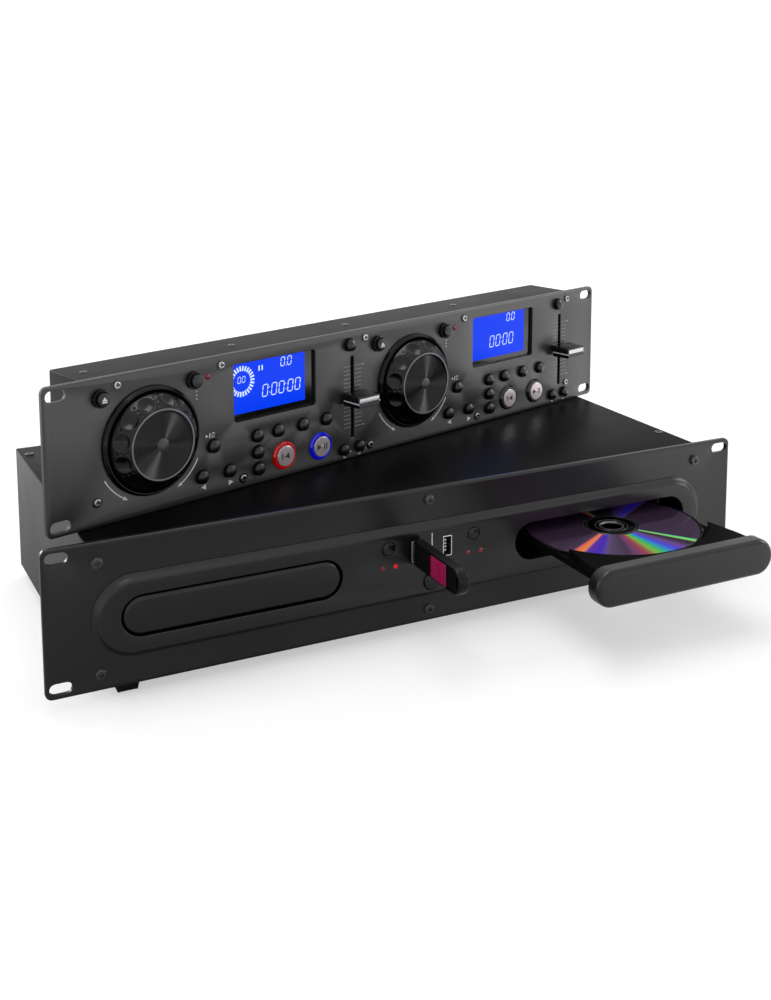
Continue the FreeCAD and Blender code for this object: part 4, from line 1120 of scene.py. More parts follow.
DOT_SHARE = 1.1
POINT_STEP, COLON_STEP = 1.4, 1.9
COLON_LEVELS = (0.28, 0.72)


def figures(bm, text, x, z, width, height, thick, step):
    """A row of figures; a point or colon takes a short step."""
    for sign in text:
        if sign == ".":
            dot(bm, x - 0.1, z, thick * DOT_SHARE)
            x += thick * POINT_STEP
        elif sign == ":":
            for level in COLON_LEVELS:
                dot(bm, x, z + height * level, thick * DOT_SHARE)
            x += thick * COLON_STEP
        else:
            digit(bm, sign, x, z, width, height, thick)
            x += step


FIGURE_ROWS = [
    ("0:00:00", -87.6, 55.6, 3.9, 7.6, 0.62, 6.0),
    ("0.0", -72.6, 73.2, 3.0, 5.6, 0.6, 4.6),
    ("00", -106.6, 67.4, 2.1, 3.9, 0.42, 3.4),
    ("0.0", -72.6 + DECK_PITCH, 73.2, 3.0, 5.6, 0.6, 4.6),
    ("00:00", -91.0 + DECK_PITCH, 55.6, 4.2, 8.2, 0.62, 6.6),
]
PAUSE_BARS = (-89.7, -87.3)
PAUSE_SPAN = (72.8, 76.6)
drawing = bmesh.new()
for row in FIGURE_ROWS:
    figures(drawing, *row)
for x in PAUSE_BARS:
    bar(drawing, x, PAUSE_SPAN[0], x, PAUSE_SPAN[1], 1.0)
add_piece("display_figures", drawing, ON_CONTROLLER, "display_pale", "controller", "board")
print("rows of figures:", len(FIGURE_ROWS))

# %% [markdown]
# The ring of short bars that turns with the music repeats one bar round a circle, so Geometry Nodes
# set it out: a circle of points, one bar on each, turned outwards.

# %% Ring of bars
def bar_ring_tree():
    tree, given, result = new_tree("bar_ring", [
        ("Count", "NodeSocketInt", 26),
        ("Radius", "NodeSocketFloat", 8.3),
        ("Length", "NodeSocketFloat", 3.2),
        ("Width", "NodeSocketFloat", 1.15),
        ("Thick", "NodeSocketFloat", 0.05),
        ("Material", "NodeSocketMaterial", None),
    ])
    value = given.outputs
    circle_points = add_node(tree, "GeometryNodeMeshCircle")
    tree.links.new(value["Count"], circle_points.inputs["Vertices"])
    tree.links.new(value["Radius"], circle_points.inputs["Radius"])
    block = add_node(tree, "GeometryNodeMeshCube")
    tree.links.new(vector(tree, value["Length"], value["Width"], value["Thick"]), block.inputs["Size"])
    step = calc(tree, "DIVIDE", 2 * math.pi, value["Count"])
    index = tree.nodes.new("GeometryNodeInputIndex").outputs[0]
    turn = vector(tree, 0.0, 0.0, calc(tree, "MULTIPLY", step, index))
    copies = add_node(tree, "GeometryNodeInstanceOnPoints")
    tree.links.new(circle_points.outputs[0], copies.inputs["Points"])
    tree.links.new(block.outputs[0], copies.inputs["Instance"])
    tree.links.new(turn, copies.inputs["Rotation"])
    finish_tree(tree, given, result, copies.outputs[0])
    return tree


def empty_host(name):
    """An object with nothing in it yet, for a tree that makes its own geometry."""
    host = bpy.data.objects.new(name, bpy.data.meshes.new(name))
    bpy.context.scene.collection.objects.link(host)
    return host


# The tree draws flat on XY; this stands it upright in the display.
BAR_RING_PLACE = (-103.4, MARK_Y + 0.03, 68.3)
STOOD_UP = Matrix.Rotation(math.pi / 2, 4, "X")
bars = apply_tree(empty_host("display_bar_ring"), bar_ring_tree(), Material=FINISH["display_pale"])
bars.data.transform(ON_CONTROLLER @ Matrix.Translation(BAR_RING_PLACE) @ STOOD_UP)
settle(bars, "controller", "board")
print("bar ring:", len(bars.data.polygons), "faces")

# %% [markdown]
# ## Pitch sliders
# The knob is a moulded block. A white line runs round it at half height, and above the line its front
# carries a silver bar. Beside its slot is a printed scale, whose ticks a second tree repeats.

# %% Slider knobs
KNOB_WIDTH, KNOB_HEIGHT = 19.1, 8.5
KNOB_HALF = KNOB_HEIGHT / 2
KNOB_Z = 42.9
KNOB_LIFT, KNOB_RISE = 2.0, 17.5
KNOB_TAPER = 0.6
KNOB_ROWS = [
    (9.4, KNOB_HALF, -KNOB_LIFT), (9.55, KNOB_HALF, -KNOB_LIFT - 0.6), (9.45, KNOB_HALF - 0.2, -8.0),
    (9.4, KNOB_HALF - KNOB_TAPER + 0.2, -KNOB_RISE + 1.0), (9.2, KNOB_HALF - KNOB_TAPER, -KNOB_RISE + 0.3),
    (8.9, KNOB_HALF - KNOB_TAPER - 0.3, -KNOB_RISE),
]
STEM_WIDTH, STEM_HEIGHT, STEM_BACK = 2.3, 5.0, 7.2
LINE_HEIGHT, LINE_DROP = 0.9, 0.4
BAR_WIDTH, BAR_HEIGHT, BAR_DROP = 17.2, 2.9, 0.2


def slider_knob(bm, x):
    """The moulded block, by (half width, half height, y), and the stem in the slot."""
    rings = []
    for half_width, half_height, y in KNOB_ROWS:
        rings.append(add_ring(bm, rounded(x, KNOB_Z, 2 * half_width, 2 * half_height, 0.5, 3)(0), y))
    for first, second in zip(rings, rings[1:]):
        bridge(bm, first, second)
    close(bm, rings)
    stem = rounded(x, KNOB_Z, STEM_WIDTH, STEM_HEIGHT, 0.3, 2)
    close(bm, wall(bm, stem, [(0, -KNOB_LIFT), (0, STEM_BACK)]))


def slider_line(bm, x):
    """The white line, a thin slab through the knob that shows all round it."""
    box = bmesh.ops.create_cube(bm, size=1.0)
    spread = Matrix.Diagonal((KNOB_WIDTH, KNOB_RISE - KNOB_LIFT - 0.2, LINE_HEIGHT, 1))
    place = Matrix.Translation((x, -(KNOB_RISE + KNOB_LIFT) / 2, KNOB_Z - LINE_HEIGHT / 2 - LINE_DROP))
    bmesh.ops.transform(bm, matrix=place @ spread, verts=box["verts"])


def slider_bar(bm, x):
    """The silver bar on the front, above the line."""
    shape = rounded(x, KNOB_Z + BAR_HEIGHT / 2 - BAR_DROP, BAR_WIDTH, BAR_HEIGHT, 0.2, 2)
    plate(bm, shape, [], -KNOB_RISE - 0.06, -KNOB_RISE + 0.3, 0.05)


for deck, shift in DECKS.items():
    knob, line, silver = bmesh.new(), bmesh.new(), bmesh.new()
    slider_knob(knob, FADER_X + shift)
    slider_line(line, FADER_X + shift)
    slider_bar(silver, FADER_X + shift)
    body = deck + "_pitch_knob"
    add_piece(deck + "_slider_knob", knob, ON_CONTROLLER, "button_plastic", body, "fader_plastic", body)
    add_piece(deck + "_slider_line", line, ON_CONTROLLER, "print_white", body, "fader_plastic")
    add_piece(deck + "_slider_bar", silver, ON_CONTROLLER, "knob_silver", body, "fader_plastic")
print("slider knobs:", len(DECKS))


# %% [markdown]
# ## The player's front panel
# The steel plate carries a moulded pad with round ends, 4.5 mm proud. Its edge rolls over, falls in a
# broad slope and ends in a small step. The pad is the same stadium at several depths, so one list of
# (grow, depth) steps draws the whole edge. The drawers' mouths and the small holes go through it, and
# the slope has to end before the power button's hole begins.

# %% Pad, mouths and plate
PAD_Z = 41.8
PAD_WIDTH, PAD_HEIGHT = 429.0, 49.6
PAD_EDGE = [(-4.5, -4.5), (-4.15, -4.46), (-3.8, -4.32), (-3.5, -4.08), (-2.3, -2.5), (-1.25, -1.3),
            (-0.85, -1.0), (-0.45, -0.86), (-0.15, -0.72), (0, -0.5), (0, 0)]
TRAY_X, TRAY_Z = 130.0, 42.0
MOUTH_WIDTH, MOUTH_HEIGHT = 136.8, 25.1
SOURCE_BUTTON = (30.2, 54.0)
SOURCE_R = 4.1
POWER_BUTTON = (0.0, 28.1)
POWER_R = 5.6
USB_X, USB_Z = 11.0, 49.4
USB_WIDTH, USB_HEIGHT = 6.8, 13.6


def pad_holes():
    holes = []
    for side in (-1, 1):
        holes.append(stadium(side * TRAY_X, TRAY_Z, MOUTH_WIDTH, MOUTH_HEIGHT))
        holes.append(circle(side * SOURCE_BUTTON[0], SOURCE_BUTTON[1], SOURCE_R + HOLE_GAP, 32))
        holes.append(rounded(side * USB_X, USB_Z, USB_WIDTH, USB_HEIGHT, 0.3, 2))
    holes.append(circle(POWER_BUTTON[0], POWER_BUTTON[1], POWER_R + HOLE_GAP, 40))
    return holes


drawing = bmesh.new()
pad_rings = wall(drawing, stadium(0, PAD_Z, PAD_WIDTH, PAD_HEIGHT, 32), PAD_EDGE)
panel_back = [(0, PANEL_THICK)]
pad_cuts = [wall(drawing, hole, edge_steps(0.5, -PAD_RISE, 1) + panel_back) for hole in pad_holes()]
slot_cuts = [wall(drawing, hole, edge_steps(0.3, 0, 1) + panel_back) for hole in rack_slots()]
plate_rings = wall(drawing, rack_outline(), edge_steps(0.9, 0, -1) + panel_back)
cap(drawing, [pad_rings[0]] + [rings[0] for rings in pad_cuts])
cap(drawing, [plate_rings[0], pad_rings[-1]] + [rings[0] for rings in slot_cuts])
cap(drawing, [plate_rings[-1]] + [rings[-1] for rings in pad_cuts + slot_cuts])
player_face = add_piece("player_face", drawing, ON_PLAYER, "player_paint",
                        "player", "player_panel_paint", "player_panel")
print("player panel:", len(player_face.data.polygons), "faces")

# %% [markdown]
# ## Drawer fronts
# Each drawer ends in a moulded front with round ends and a soft edge. Its size is the mouth less a
# running gap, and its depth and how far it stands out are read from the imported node's box.

# %% Drawer fronts
MOUTH_GAP = 0.8
FRONT_EDGE = 2.9
for side, deck in ((-1, "left"), (1, "right")):
    low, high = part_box(deck + "_tray_front")
    front_y, back_y = [(y - player_corner.y) / MM for y in (low.y, high.y)]
    drawing = bmesh.new()
    shape = stadium(side * TRAY_X, TRAY_Z, MOUTH_WIDTH - 2 * MOUTH_GAP, MOUTH_HEIGHT - 2 * MOUTH_GAP, 28)
    close(drawing, wall(drawing, shape, edge_steps(FRONT_EDGE, front_y, -1, 6) + [(0, back_y)]))
    add_piece(deck + "_drawer_front", drawing, ON_PLAYER, "front_plastic",
              deck + "_tray", "tray_front_plastic", deck + "_tray_front")
    print(deck, "drawer front at y", round(front_y, 1))

# %% [markdown]
# ## The player's buttons
# Two source buttons and the power button are turned caps like the controller's. How far each stands
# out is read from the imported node's box.

# %% Source and power buttons
PLAYER_DOME = 0.5
PLAYER_CAPS = [
    ("left_source_button", -SOURCE_BUTTON[0], SOURCE_BUTTON[1], SOURCE_R, 0.6),
    ("right_source_button", SOURCE_BUTTON[0], SOURCE_BUTTON[1], SOURCE_R, 0.6),
    ("power_button", POWER_BUTTON[0], POWER_BUTTON[1], POWER_R, 0.8),
]
for body, x, z, radius, shoulder in PLAYER_CAPS:
    rise = (player_corner.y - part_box(body)[0].y) / MM
    drawing = bmesh.new()
    lathe(drawing, x, z, dome_profile(radius, rise, CAP_BACK, PLAYER_DOME, shoulder), 48)
    add_piece(body + "_cap", drawing, ON_PLAYER, "button_plastic", body, "black_button", body)
print("player caps:", len(PLAYER_CAPS))

# %% [markdown]
# ## The disc
# A pressed disc is clear at the hub and mirrored further out. It is turned from its section, with the
# stacking ring and the rim. Each band has a finish of its own, so the disc is drawn as nine rings.

# %% Disc turned about its own upright axis
DISC_BANDS = [
    ("disc_bore_line", 7.5, 8.4, "disc_line"),
    ("disc_hub", 8.4, 10.6, "disc_clear"),
    ("disc_stack_line", 10.6, 11.0, "disc_line"),
    ("disc_clear_band", 11.0, 16.6, "disc_clear"),
    ("disc_mirror_line", 16.6, 16.9, "disc_line"),
    ("disc_mirror_ring", 16.9, 18.4, "disc_band"),
    ("disc_foil_line", 18.4, 18.7, "disc_line"),
    ("disc_play_face", 18.7, 58.0, "disc_rainbow"),
    ("disc_rim", 58.0, 60.0, "disc_clear"),
]
ON_DISC = (
    Matrix.Translation(DISC_MIDDLE)
    @ Matrix.Rotation(math.pi / 2, 4, "X")
    @ Matrix.Scale(MM, 4)
)
DISC_THICK = (disc_high.z - disc_low.z) / MM
DISC_EASE = 0.08


def disc_band(bm, inner, outer):
    """A flat ring about the drawing's Y, from 0 to the disc's thickness, eased at its upper edges."""
    below = DISC_THICK - DISC_EASE
    section = [(inner, 0), (outer, 0), (outer, below), (outer - DISC_EASE, DISC_THICK)]
    section += [(inner + DISC_EASE, DISC_THICK), (inner, below), (inner, 0)]
    lathe(bm, 0, 0, section, 180)


for name, inner, outer, finish in DISC_BANDS:
    drawing = bmesh.new()
    disc_band(drawing, inner, outer)
    add_piece(name, drawing, ON_DISC, finish, "disc", "disc_face", "disc")
print("disc bands:", len(DISC_BANDS))

# %% [markdown]
# ## Sheet-metal boxes
# The controller's housing and the player's pan and lid are folded from thin steel. Folded sheet has a
# soft edge of about its own thickness, and that edge is what shows as a thin light line. Each box is
# drawn as rings of one outline: out over the rounded back edge, and in again one sheet deeper.

# %% Housing of the controller
SHEET = 1.2
INNER_CORNER = 0.3
HOUSING_HALF, HOUSING_LOW, HOUSING_HIGH = 214.0, 0.8, 87.3
HOUSING_BACK = 42.0
LINK_R, LINK_Z = 6.5, 44.0


def hollow_box(bm, half, limits, corner, back, edge, holes):
    """A box of sheet behind a panel, open towards it, whose back wall has holes."""
    width, height, z = 2 * half, limits[1] - limits[0], (limits[0] + limits[1]) / 2
    outside = rounded(0, z, width, height, corner, 5)
    inside = rounded(0, z, width - 2 * SHEET, height - 2 * SHEET, INNER_CORNER, 2)
    outer = wall(bm, outside, [(0, PANEL_THICK)] + edge_back(edge, back, -1, 4))
    inner = wall(bm, inside, [(0, PANEL_THICK), (0, back - SHEET)])
    cuts = [wall(bm, hole, [(0, back - SHEET), (0, back)]) for hole in holes]
    cap(bm, [outer[0], inner[0]])
    cap(bm, [inner[-1]] + [rings[0] for rings in cuts])
    cap(bm, [outer[-1]] + [rings[-1] for rings in cuts])


drawing = bmesh.new()
link_holes = [circle(JOG_X + shift, LINK_Z, LINK_R + HOLE_GAP, 40) for shift in DECKS.values()]
hollow_box(drawing, HOUSING_HALF, (HOUSING_LOW, HOUSING_HIGH), 1.1, HOUSING_BACK, 1.1, link_holes)
add_piece("housing_shell", drawing, ON_CONTROLLER, "housing_paint",
          "controller", "chassis_paint", "controller_housing")

# %% Pan and lid of the player
CHASSIS_HALF, CHASSIS_FLOOR, CHASSIS_BACK = 215.0, 2.0, 210.0
COVER_TOP = 86.4
INLET_X, INLET_Z, INLET_CORNER = 182.0, 32.0, 2.0


def inlet_outline(width, height):
    """An outline of the mains inlet, or of its opening, about the inlet's middle."""
    return rounded(INLET_X, INLET_Z, width, height, INLET_CORNER, 5)


drawing = bmesh.new()
hollow_box(drawing, CHASSIS_HALF, (CHASSIS_FLOOR, COVER_TOP - SHEET), 0.8, CHASSIS_BACK, 1.0,
           [inlet_outline(26.8, 19.8)])
add_piece("player_pan", drawing, ON_PLAYER, "chassis_paint", "player", "chassis_paint", "player_base")

LAID_FLAT = Matrix.Rotation(-math.pi / 2, 4, "X")
ON_LID = ON_PLAYER @ Matrix.Translation((0, 0, COVER_TOP)) @ LAID_FLAT
drawing = bmesh.new()
lid_limits = (-CHASSIS_HALF, CHASSIS_HALF, PANEL_THICK, CHASSIS_BACK)
plate(drawing, rounded(*between(lid_limits), 1.2, 5), [], 0, SHEET, 0.6)
add_piece("player_lid", drawing, ON_LID, "lid_paint", "player", "cover_paint", "player_cover")
print("housing, pan and lid drawn")

# %% [markdown]
# ## Feet
# Four moulded feet carry the player. Each is a block that narrows downwards and ends in a soft edge,
# drawn as rings of one outline on a sole plane whose depth runs down from the pan.

# %% Feet
FOOT_PLACES = [(x, y) for x in (-193.5, 193.5) for y in (11.5, 190.0)]
FOOT_SIZE, FOOT_INSET, FOOT_DROP = 15.0, -1.5, 8.5
FOOT_ROWS = [(0, 0), (0, 0.6), (FOOT_INSET, FOOT_DROP - 0.8),
             (FOOT_INSET - 0.25, FOOT_DROP - 0.25), (FOOT_INSET - 0.8, FOOT_DROP)]
ON_SOLE = ON_PLAYER @ Matrix.Translation((0, 0, CHASSIS_FLOOR)) @ LAID_FLAT
drawing = bmesh.new()
for x, y in FOOT_PLACES:
    close(drawing, wall(drawing, rounded(x, y, FOOT_SIZE, FOOT_SIZE, 1.6, 5), FOOT_ROWS))
add_piece("rubber_feet", drawing, ON_SOLE, "foot_rubber", "player", "foot_rubber", "player_feet")
print("feet:", len(FOOT_PLACES))

# %% [markdown]
# ## Screws
# Every screw is a turned head with a driver's cross sunk into it. A head is drawn once and Geometry
# Nodes set it at each place, as a maker drops the same screw into every hole. Drawing each one by
# hand would give the same looks with twenty times the code.

# %% A tree that sets one drawn piece at every point of its host
def set_out_tree():
    tree, given, result = new_tree("set_out", [
        ("Piece", "NodeSocketObject", None),
        ("Scale", "NodeSocketFloat", 1.0),
        ("Material", "NodeSocketMaterial", None),
    ])
    source = add_node(tree, "GeometryNodeObjectInfo", transform_space="ORIGINAL")
    tree.links.new(given.outputs["Piece"], source.inputs["Object"])
    copies = add_node(tree, "GeometryNodeInstanceOnPoints")
    tree.links.new(given.outputs["Geometry"], copies.inputs["Points"])
    tree.links.new(source.outputs["Geometry"], copies.inputs["Instance"])
    tree.links.new(given.outputs["Scale"], copies.inputs["Scale"])
    finish_tree(tree, given, result, copies.outputs[0])
    return tree


SET_OUT = set_out_tree()


def set_out(name, bm, places, frame_matrix, finish, body, slot_name, *replaced):
    """Repeats one drawing at (x, z) places of a drawing frame, as one piece."""
    pattern = to_mesh(name + "_pattern", bm, Matrix.Identity(4), finish)
    host = empty_host(name)
    host.data.from_pydata([(x, 0, z) for x, z in places], [], [])
    apply_tree(host, SET_OUT, Piece=pattern, Material=FINISH[finish])
    host.data.transform(frame_matrix)
    bpy.data.objects.remove(pattern)
    print(name, len(places), "times,", len(host.data.polygons), "faces")
    return settle(host, body, slot_name, *replaced)


# %% Screw heads
def cross(arm, half):
    """The plus-shaped mouth of a driver's recess."""
    def at(grow):
        a, h = arm + grow, half + grow
        return [(h, h), (h, a), (-h, a), (-h, h), (-a, h), (-a, -h),
                (-h, -h), (-h, -a), (h, -a), (h, -h), (a, -h), (a, h)]
    return at


def screw_head(radius, rise, edge, arm, half, deep=0.9):
    """A head standing `rise` out of its sheet, with a cross recess."""
    bm = bmesh.new()
    outer = wall(bm, circle(0, 0, radius, 36), edge_steps(edge, -rise, -1, 5) + [(0, 0.4)])
    recess = wall(bm, cross(arm, half), [(0.06, -rise), (-0.1, -rise + deep)])
    cap(bm, [outer[0], recess[0]])
    cap(bm, [recess[-1]])
    cap(bm, [outer[-1]])
    return bm


def flat_ring(inner, outer, front, back):
    """A washer, or a dark ring round a sunk head, painted shade for the well it sits in."""
    bm = bmesh.new()
    plate(bm, circle(0, 0, outer, 36), [circle(0, 0, inner, 36)], front, back, 0.1, 0.05)
    return bm


def recess_floor(rise, arm, half):
    """A dark block in a recess, painted shade for its floor."""
    bm = bmesh.new()
    close(bm, wall(bm, cross(arm, half), [(-0.02, -rise + 0.3), (-0.02, -rise + 0.85)]))
    return bm


# %% Set the screws out
PLAYER_SCREWS = [(x, z) for x in (-210.3, 210.3) for z in (9.9, 76.0)] + [(0, 7.8), (0, 80.0)]
CONTROLLER_SCREWS = [(x, 82.0) for x in (-193.6, -120.5, -2.2, 94.0, 209.0)]
CONTROLLER_SCREWS += [(x, 6.4) for x in (-105.2, 2.1, 108.2)] + [(x, 15.0) for x in (-209.0, 209.0)]
LID_SCREWS = [(x, y) for x in (-209.0, 209.0) for y in (39.0, 192.0)]
HOUSING_SCREWS = [(x, 22.0) for x in (-202.5, -96.5, -0.5, 105.0)]
ON_HOUSING_TOP = ON_CONTROLLER @ Matrix.Translation((0, 0, HOUSING_HIGH)) @ LAID_FLAT
BRIGHT_RISE, BRIGHT_ARM, BRIGHT_HALF = 1.3, 1.55, 0.62
bright_head = screw_head(2.25, BRIGHT_RISE, 0.5, BRIGHT_ARM, BRIGHT_HALF)
bright_recess_painted_shade = recess_floor(BRIGHT_RISE, BRIGHT_ARM, BRIGHT_HALF)

set_out("player_screw_heads", screw_head(3.3, 1.9, 0.9, 1.5, 0.42), PLAYER_SCREWS, ON_PLAYER,
        "black_screw", "player", "black_screws", "player_screws")
set_out("player_screw_washers", flat_ring(3.2, 3.75, -0.5, 0.2), PLAYER_SCREWS, ON_PLAYER,
        "black_screw", "player", "black_screws")
set_out("lid_screw_heads", screw_head(3.0, 0.55, 0.4, 1.3, 0.4, 0.5), LID_SCREWS, ON_LID,
        "black_screw", "player", "black_screws", "player_screws")
set_out("controller_screw_heads", bright_head, CONTROLLER_SCREWS, ON_CONTROLLER,
        "bright_screw", "controller", "bright_screws", "controller_screws")
# On the bright screws, the black cross in each recess and the black ring round each head are painted shade.
set_out("controller_screw_sockets", bright_recess_painted_shade, CONTROLLER_SCREWS, ON_CONTROLLER,
        "display_mask", "controller", "black_screws")
set_out("controller_screw_wells", flat_ring(2.2, 3.4, -0.14, 0.2), CONTROLLER_SCREWS, ON_CONTROLLER,
        "display_mask", "controller", "black_screws")
set_out("housing_screw_heads", screw_head(2.4, 0.4, 0.3, 1.1, 0.35, 0.4), HOUSING_SCREWS, ON_HOUSING_TOP,
        "black_screw", "controller", "black_screws")

# %% [markdown]
# ## Printing
# Scales, arrows and signs are screen-printed in white. They are thin raised shapes, so they stay
# sharp at any distance, and only plain signs and numbers are drawn.

# %% Flat printed shapes
PRINT_RISE = 0.05


def mark(bm, outline, surface=0.0):
    """A flat printed shape on a surface at this depth."""
    rings = [add_ring(bm, outline, surface + side * PRINT_RISE) for side in (-1, 1)]
    bridge(bm, *rings)
    close(bm, rings)


def stroke(bm, x0, z0, x1, z1, width, surface=0.0):
    along = Vector((x1 - x0, z1 - z0)).normalized() * width / 2
    side = Vector((-along.y, along.x))
    ends = [(x0, z0, 1), (x0, z0, -1), (x1, z1, -1), (x1, z1, 1)]
    mark(bm, [(x + way * side.x, z + way * side.y) for x, z, way in ends], surface)


def triangle(bm, x, z, width, height, turn=0.0, surface=0.0):
    """A filled triangle that points up, or is turned anticlockwise from there."""
    cosine, sine = math.cos(turn), math.sin(turn)
    corners = ((0, height / 2), (-width / 2, -height / 2), (width / 2, -height / 2))
    mark(bm, [(x + p * cosine - q * sine, z + p * sine + q * cosine) for p, q in corners], surface)


def plus(bm, x, z, half_width, arms, width):
    """A plus sign: a bar across, and an upper and a lower arm between the given heights."""
    stroke(bm, x - half_width, z, x + half_width, z, width)
    for low, high in arms:
        stroke(bm, x, low, x, high, width)


ARROW_R, ARROW_WIDTH = 37.0, 0.75
ARROW_TURNS = (209.0, 238.0)
ARROW_STEPS = 16


def turning_arrow(bm, x, z, side):
    """An arc beside the wheel with its head at the lower end; side is -1 left, 1 right."""
    start, end = [math.radians(a if side < 0 else 180 - a) for a in ARROW_TURNS]
    arc = []
    for reach in (ARROW_R + ARROW_WIDTH / 2, ARROW_R - ARROW_WIDTH / 2):
        row = []
        for k in range(ARROW_STEPS + 1):
            t = start + (end - start) * k / ARROW_STEPS
            row.append((x + reach * math.cos(t), z + reach * math.sin(t)))
        arc += row if not arc else row[::-1]
    mark(bm, arc)
    tip = end - side * 0.03
    triangle(bm, x + ARROW_R * math.cos(tip), z + ARROW_R * math.sin(tip), 2.4, 3.4,
             tip if side < 0 else tip + math.pi)


# %% [markdown]
# ## Scales
# A column of short ticks stands on each side of a slider. One tick is drawn, and the tree that set the
# screws repeats it at every level.

# %% Scales beside the sliders
TICKS, TICK_LOW, TICK_PITCH = 16, 22.1, 2.8
TICK_LEVELS = [TICK_LOW + TICK_PITCH * k for k in range(TICKS)]
TICK_COLUMNS = (FADER_X - 4.6, FADER_X + 5.1)
TICK_LENGTH, TICK_WIDTH = 6.2, 0.45
ticks = [(x + shift, z) for shift in DECKS.values() for x in TICK_COLUMNS for z in TICK_LEVELS]
drawing = bmesh.new()
stroke(drawing, -TICK_LENGTH / 2, 0, TICK_LENGTH / 2, 0, TICK_WIDTH)
set_out("slider_scales", drawing, ticks, ON_CONTROLLER, "print_grey", "controller", "controller_panel_paint")

# %% Arrows, signs and dots on the controller
TRACK_ARROWS = [(-135.3, 7.2, math.pi / 2), (-114.6, 6.0, -math.pi / 2)]
TRACK_ARROW_SIZE = 3.6
MODE_DOT_X, MODE_DOT_LEVELS, DOT_SIZE = -138.7, (68.4, 66.1, 63.8), 0.8
BEND_SIGN_Z = 5.2
BEND_MINUS, BEND_PLUS_X = (-17.0, -14.9), -2.6
BEND_CORNERS = [(-21.6, 1), (-7.0, -1)]
SCALE_END_X = FADER_X + 9.6


def deck_signs(bm, shift):
    """The signs that both decks have."""
    for side in (-1, 1):
        turning_arrow(bm, JOG_X + shift, JOG_Z, side)
    for x, z, turn in TRACK_ARROWS:
        triangle(bm, x + shift, z, TRACK_ARROW_SIZE, TRACK_ARROW_SIZE, turn)
    for z in MODE_DOT_LEVELS:
        stroke(bm, MODE_DOT_X - DOT_SIZE / 2 + shift, z, MODE_DOT_X + DOT_SIZE / 2 + shift, z, DOT_SIZE)
    stroke(bm, BEND_MINUS[0] + shift, BEND_SIGN_Z, BEND_MINUS[1] + shift, BEND_SIGN_Z, 0.5)
    plus(bm, BEND_PLUS_X + shift, BEND_SIGN_Z, 1.1, ((5.46, 6.3), (4.1, 4.94)), 0.5)
    for x, way in BEND_CORNERS:
        stroke(bm, x + shift, 3.0, x + shift, 1.6, 0.4)
        stroke(bm, x + shift + way * 0.22, 1.8, x + shift + way * 2.2, 1.8, 0.4)


def plus_ten_sign(bm, shift):
    """A plus, a leaning one and a nought over the button that skips ten."""
    plus(bm, -132.2 + shift, 38.9, 1.0, ((39.17, 39.9), (37.9, 38.63)), 0.5)
    stroke(bm, -130.0 + shift, 37.4, -129.7 + shift, 40.6, 0.62)
    digit(bm, "0", -128.4 + shift, 37.6, 1.7, 2.8, 0.55, -PRINT_RISE)


drawing = bmesh.new()
for shift in DECKS.values():
    deck_signs(drawing, shift)
    plus_ten_sign(drawing, shift)
for shift in DECKS.values():
    for z in (TICK_LEVELS[0], TICK_LEVELS[-1]):
        stroke(drawing, SCALE_END_X + shift - 0.5, z, SCALE_END_X + shift + 0.5, z, 0.7)
add_piece("controller_signs", drawing, ON_CONTROLLER, "print_white", "controller", "controller_panel_paint")

# %% [markdown]
# ## Signs on the caps
# A sign on a button goes in with it when it is pressed. So each one is a piece of its own that rides on
# the button's body, drawn at the height of the cap's top.

# %% Signs on the eject, play and cue caps
BAR_HALF, BAR_THICK = 2.1, 0.9


def eject_sign(bm, x, z, top):
    triangle(bm, x, z + 0.5, 3.4, 2.3, 0, top)
    stroke(bm, x - 1.7, z - 1.4, x + 1.7, z - 1.4, 0.8, top)


def play_sign(bm, x, z, top):
    triangle(bm, x - 2.5, z, 4.2, 3.6, -math.pi / 2, top)
    for bar_x in (x + 1.8, x + 3.7):
        stroke(bm, bar_x, z - BAR_HALF, bar_x, z + BAR_HALF, BAR_THICK, top)


def cue_sign(bm, x, z, top):
    stroke(bm, x - 2.9, z - BAR_HALF, x - 2.9, z + BAR_HALF, BAR_THICK, top)
    triangle(bm, x + 0.6, z, 4.2, 4.0, math.pi / 2, top)


CAP_SIGNS = [
    ("eject", ROUND_BUTTONS["eject"], eject_sign, -CAP_RISE["round"], "print_white", CAP_SLOT["round"]),
    ("play", BIG_BUTTONS["play"], play_sign, -CAP_RISE["big"] + 0.05, "print_dark", CAP_SLOT["big"]),
    ("cue", BIG_BUTTONS["cue"], cue_sign, -CAP_RISE["big"] + 0.05, "print_dark", CAP_SLOT["big"]),
]
for deck, shift in DECKS.items():
    for name, (x, z), draw_sign, top, finish, slot_name in CAP_SIGNS:
        drawing = bmesh.new()
        draw_sign(drawing, x + shift, z, top)
        add_piece(deck + "_" + name + "_sign", drawing, ON_CONTROLLER, finish,
                  deck + "_" + name + "_button", slot_name)

# %% The thin line between the player's two sockets
SOCKET_LINE = (0, 51.5, 0, 59.6, 0.75)
drawing = bmesh.new()
stroke(drawing, *SOCKET_LINE, -PAD_RISE)
add_piece("player_sign", drawing, ON_PLAYER, "print_white", "player", "player_panel_paint")
print("cap signs:", len(DECKS) * len(CAP_SIGNS))


# %% [markdown]
# ## Lamps and stick sockets
# Under each source button two small lamps tell what is playing: each is a turned lens with a domed
# face. The stick sockets are bent sheet with a black tongue, and their contacts lie on the tongue.

# %% Lamps of the player
LAMPS = [(-34.5, "lamp_red"), (-25.6, "lamp_bright"), (26.0, "lamp_red"), (35.4, "lamp_half")]
LAMP_Z = 42.2
LAMP_PROFILE = [(0, -0.6), (0.6, -0.54), (1.1, -0.35), (1.5, 0), (1.5, 0.3), (0, 0.3)]
for number, (x, finish) in enumerate(LAMPS, 1):
    drawing = bmesh.new()
    lathe(drawing, x, LAMP_Z, [(r, y - PAD_RISE) for r, y in LAMP_PROFILE], 28)
    add_piece("player_lamp_" + str(number), drawing, ON_PLAYER, finish, "player", "lamp_lens", "player_board")
print("lamps:", len(LAMPS))

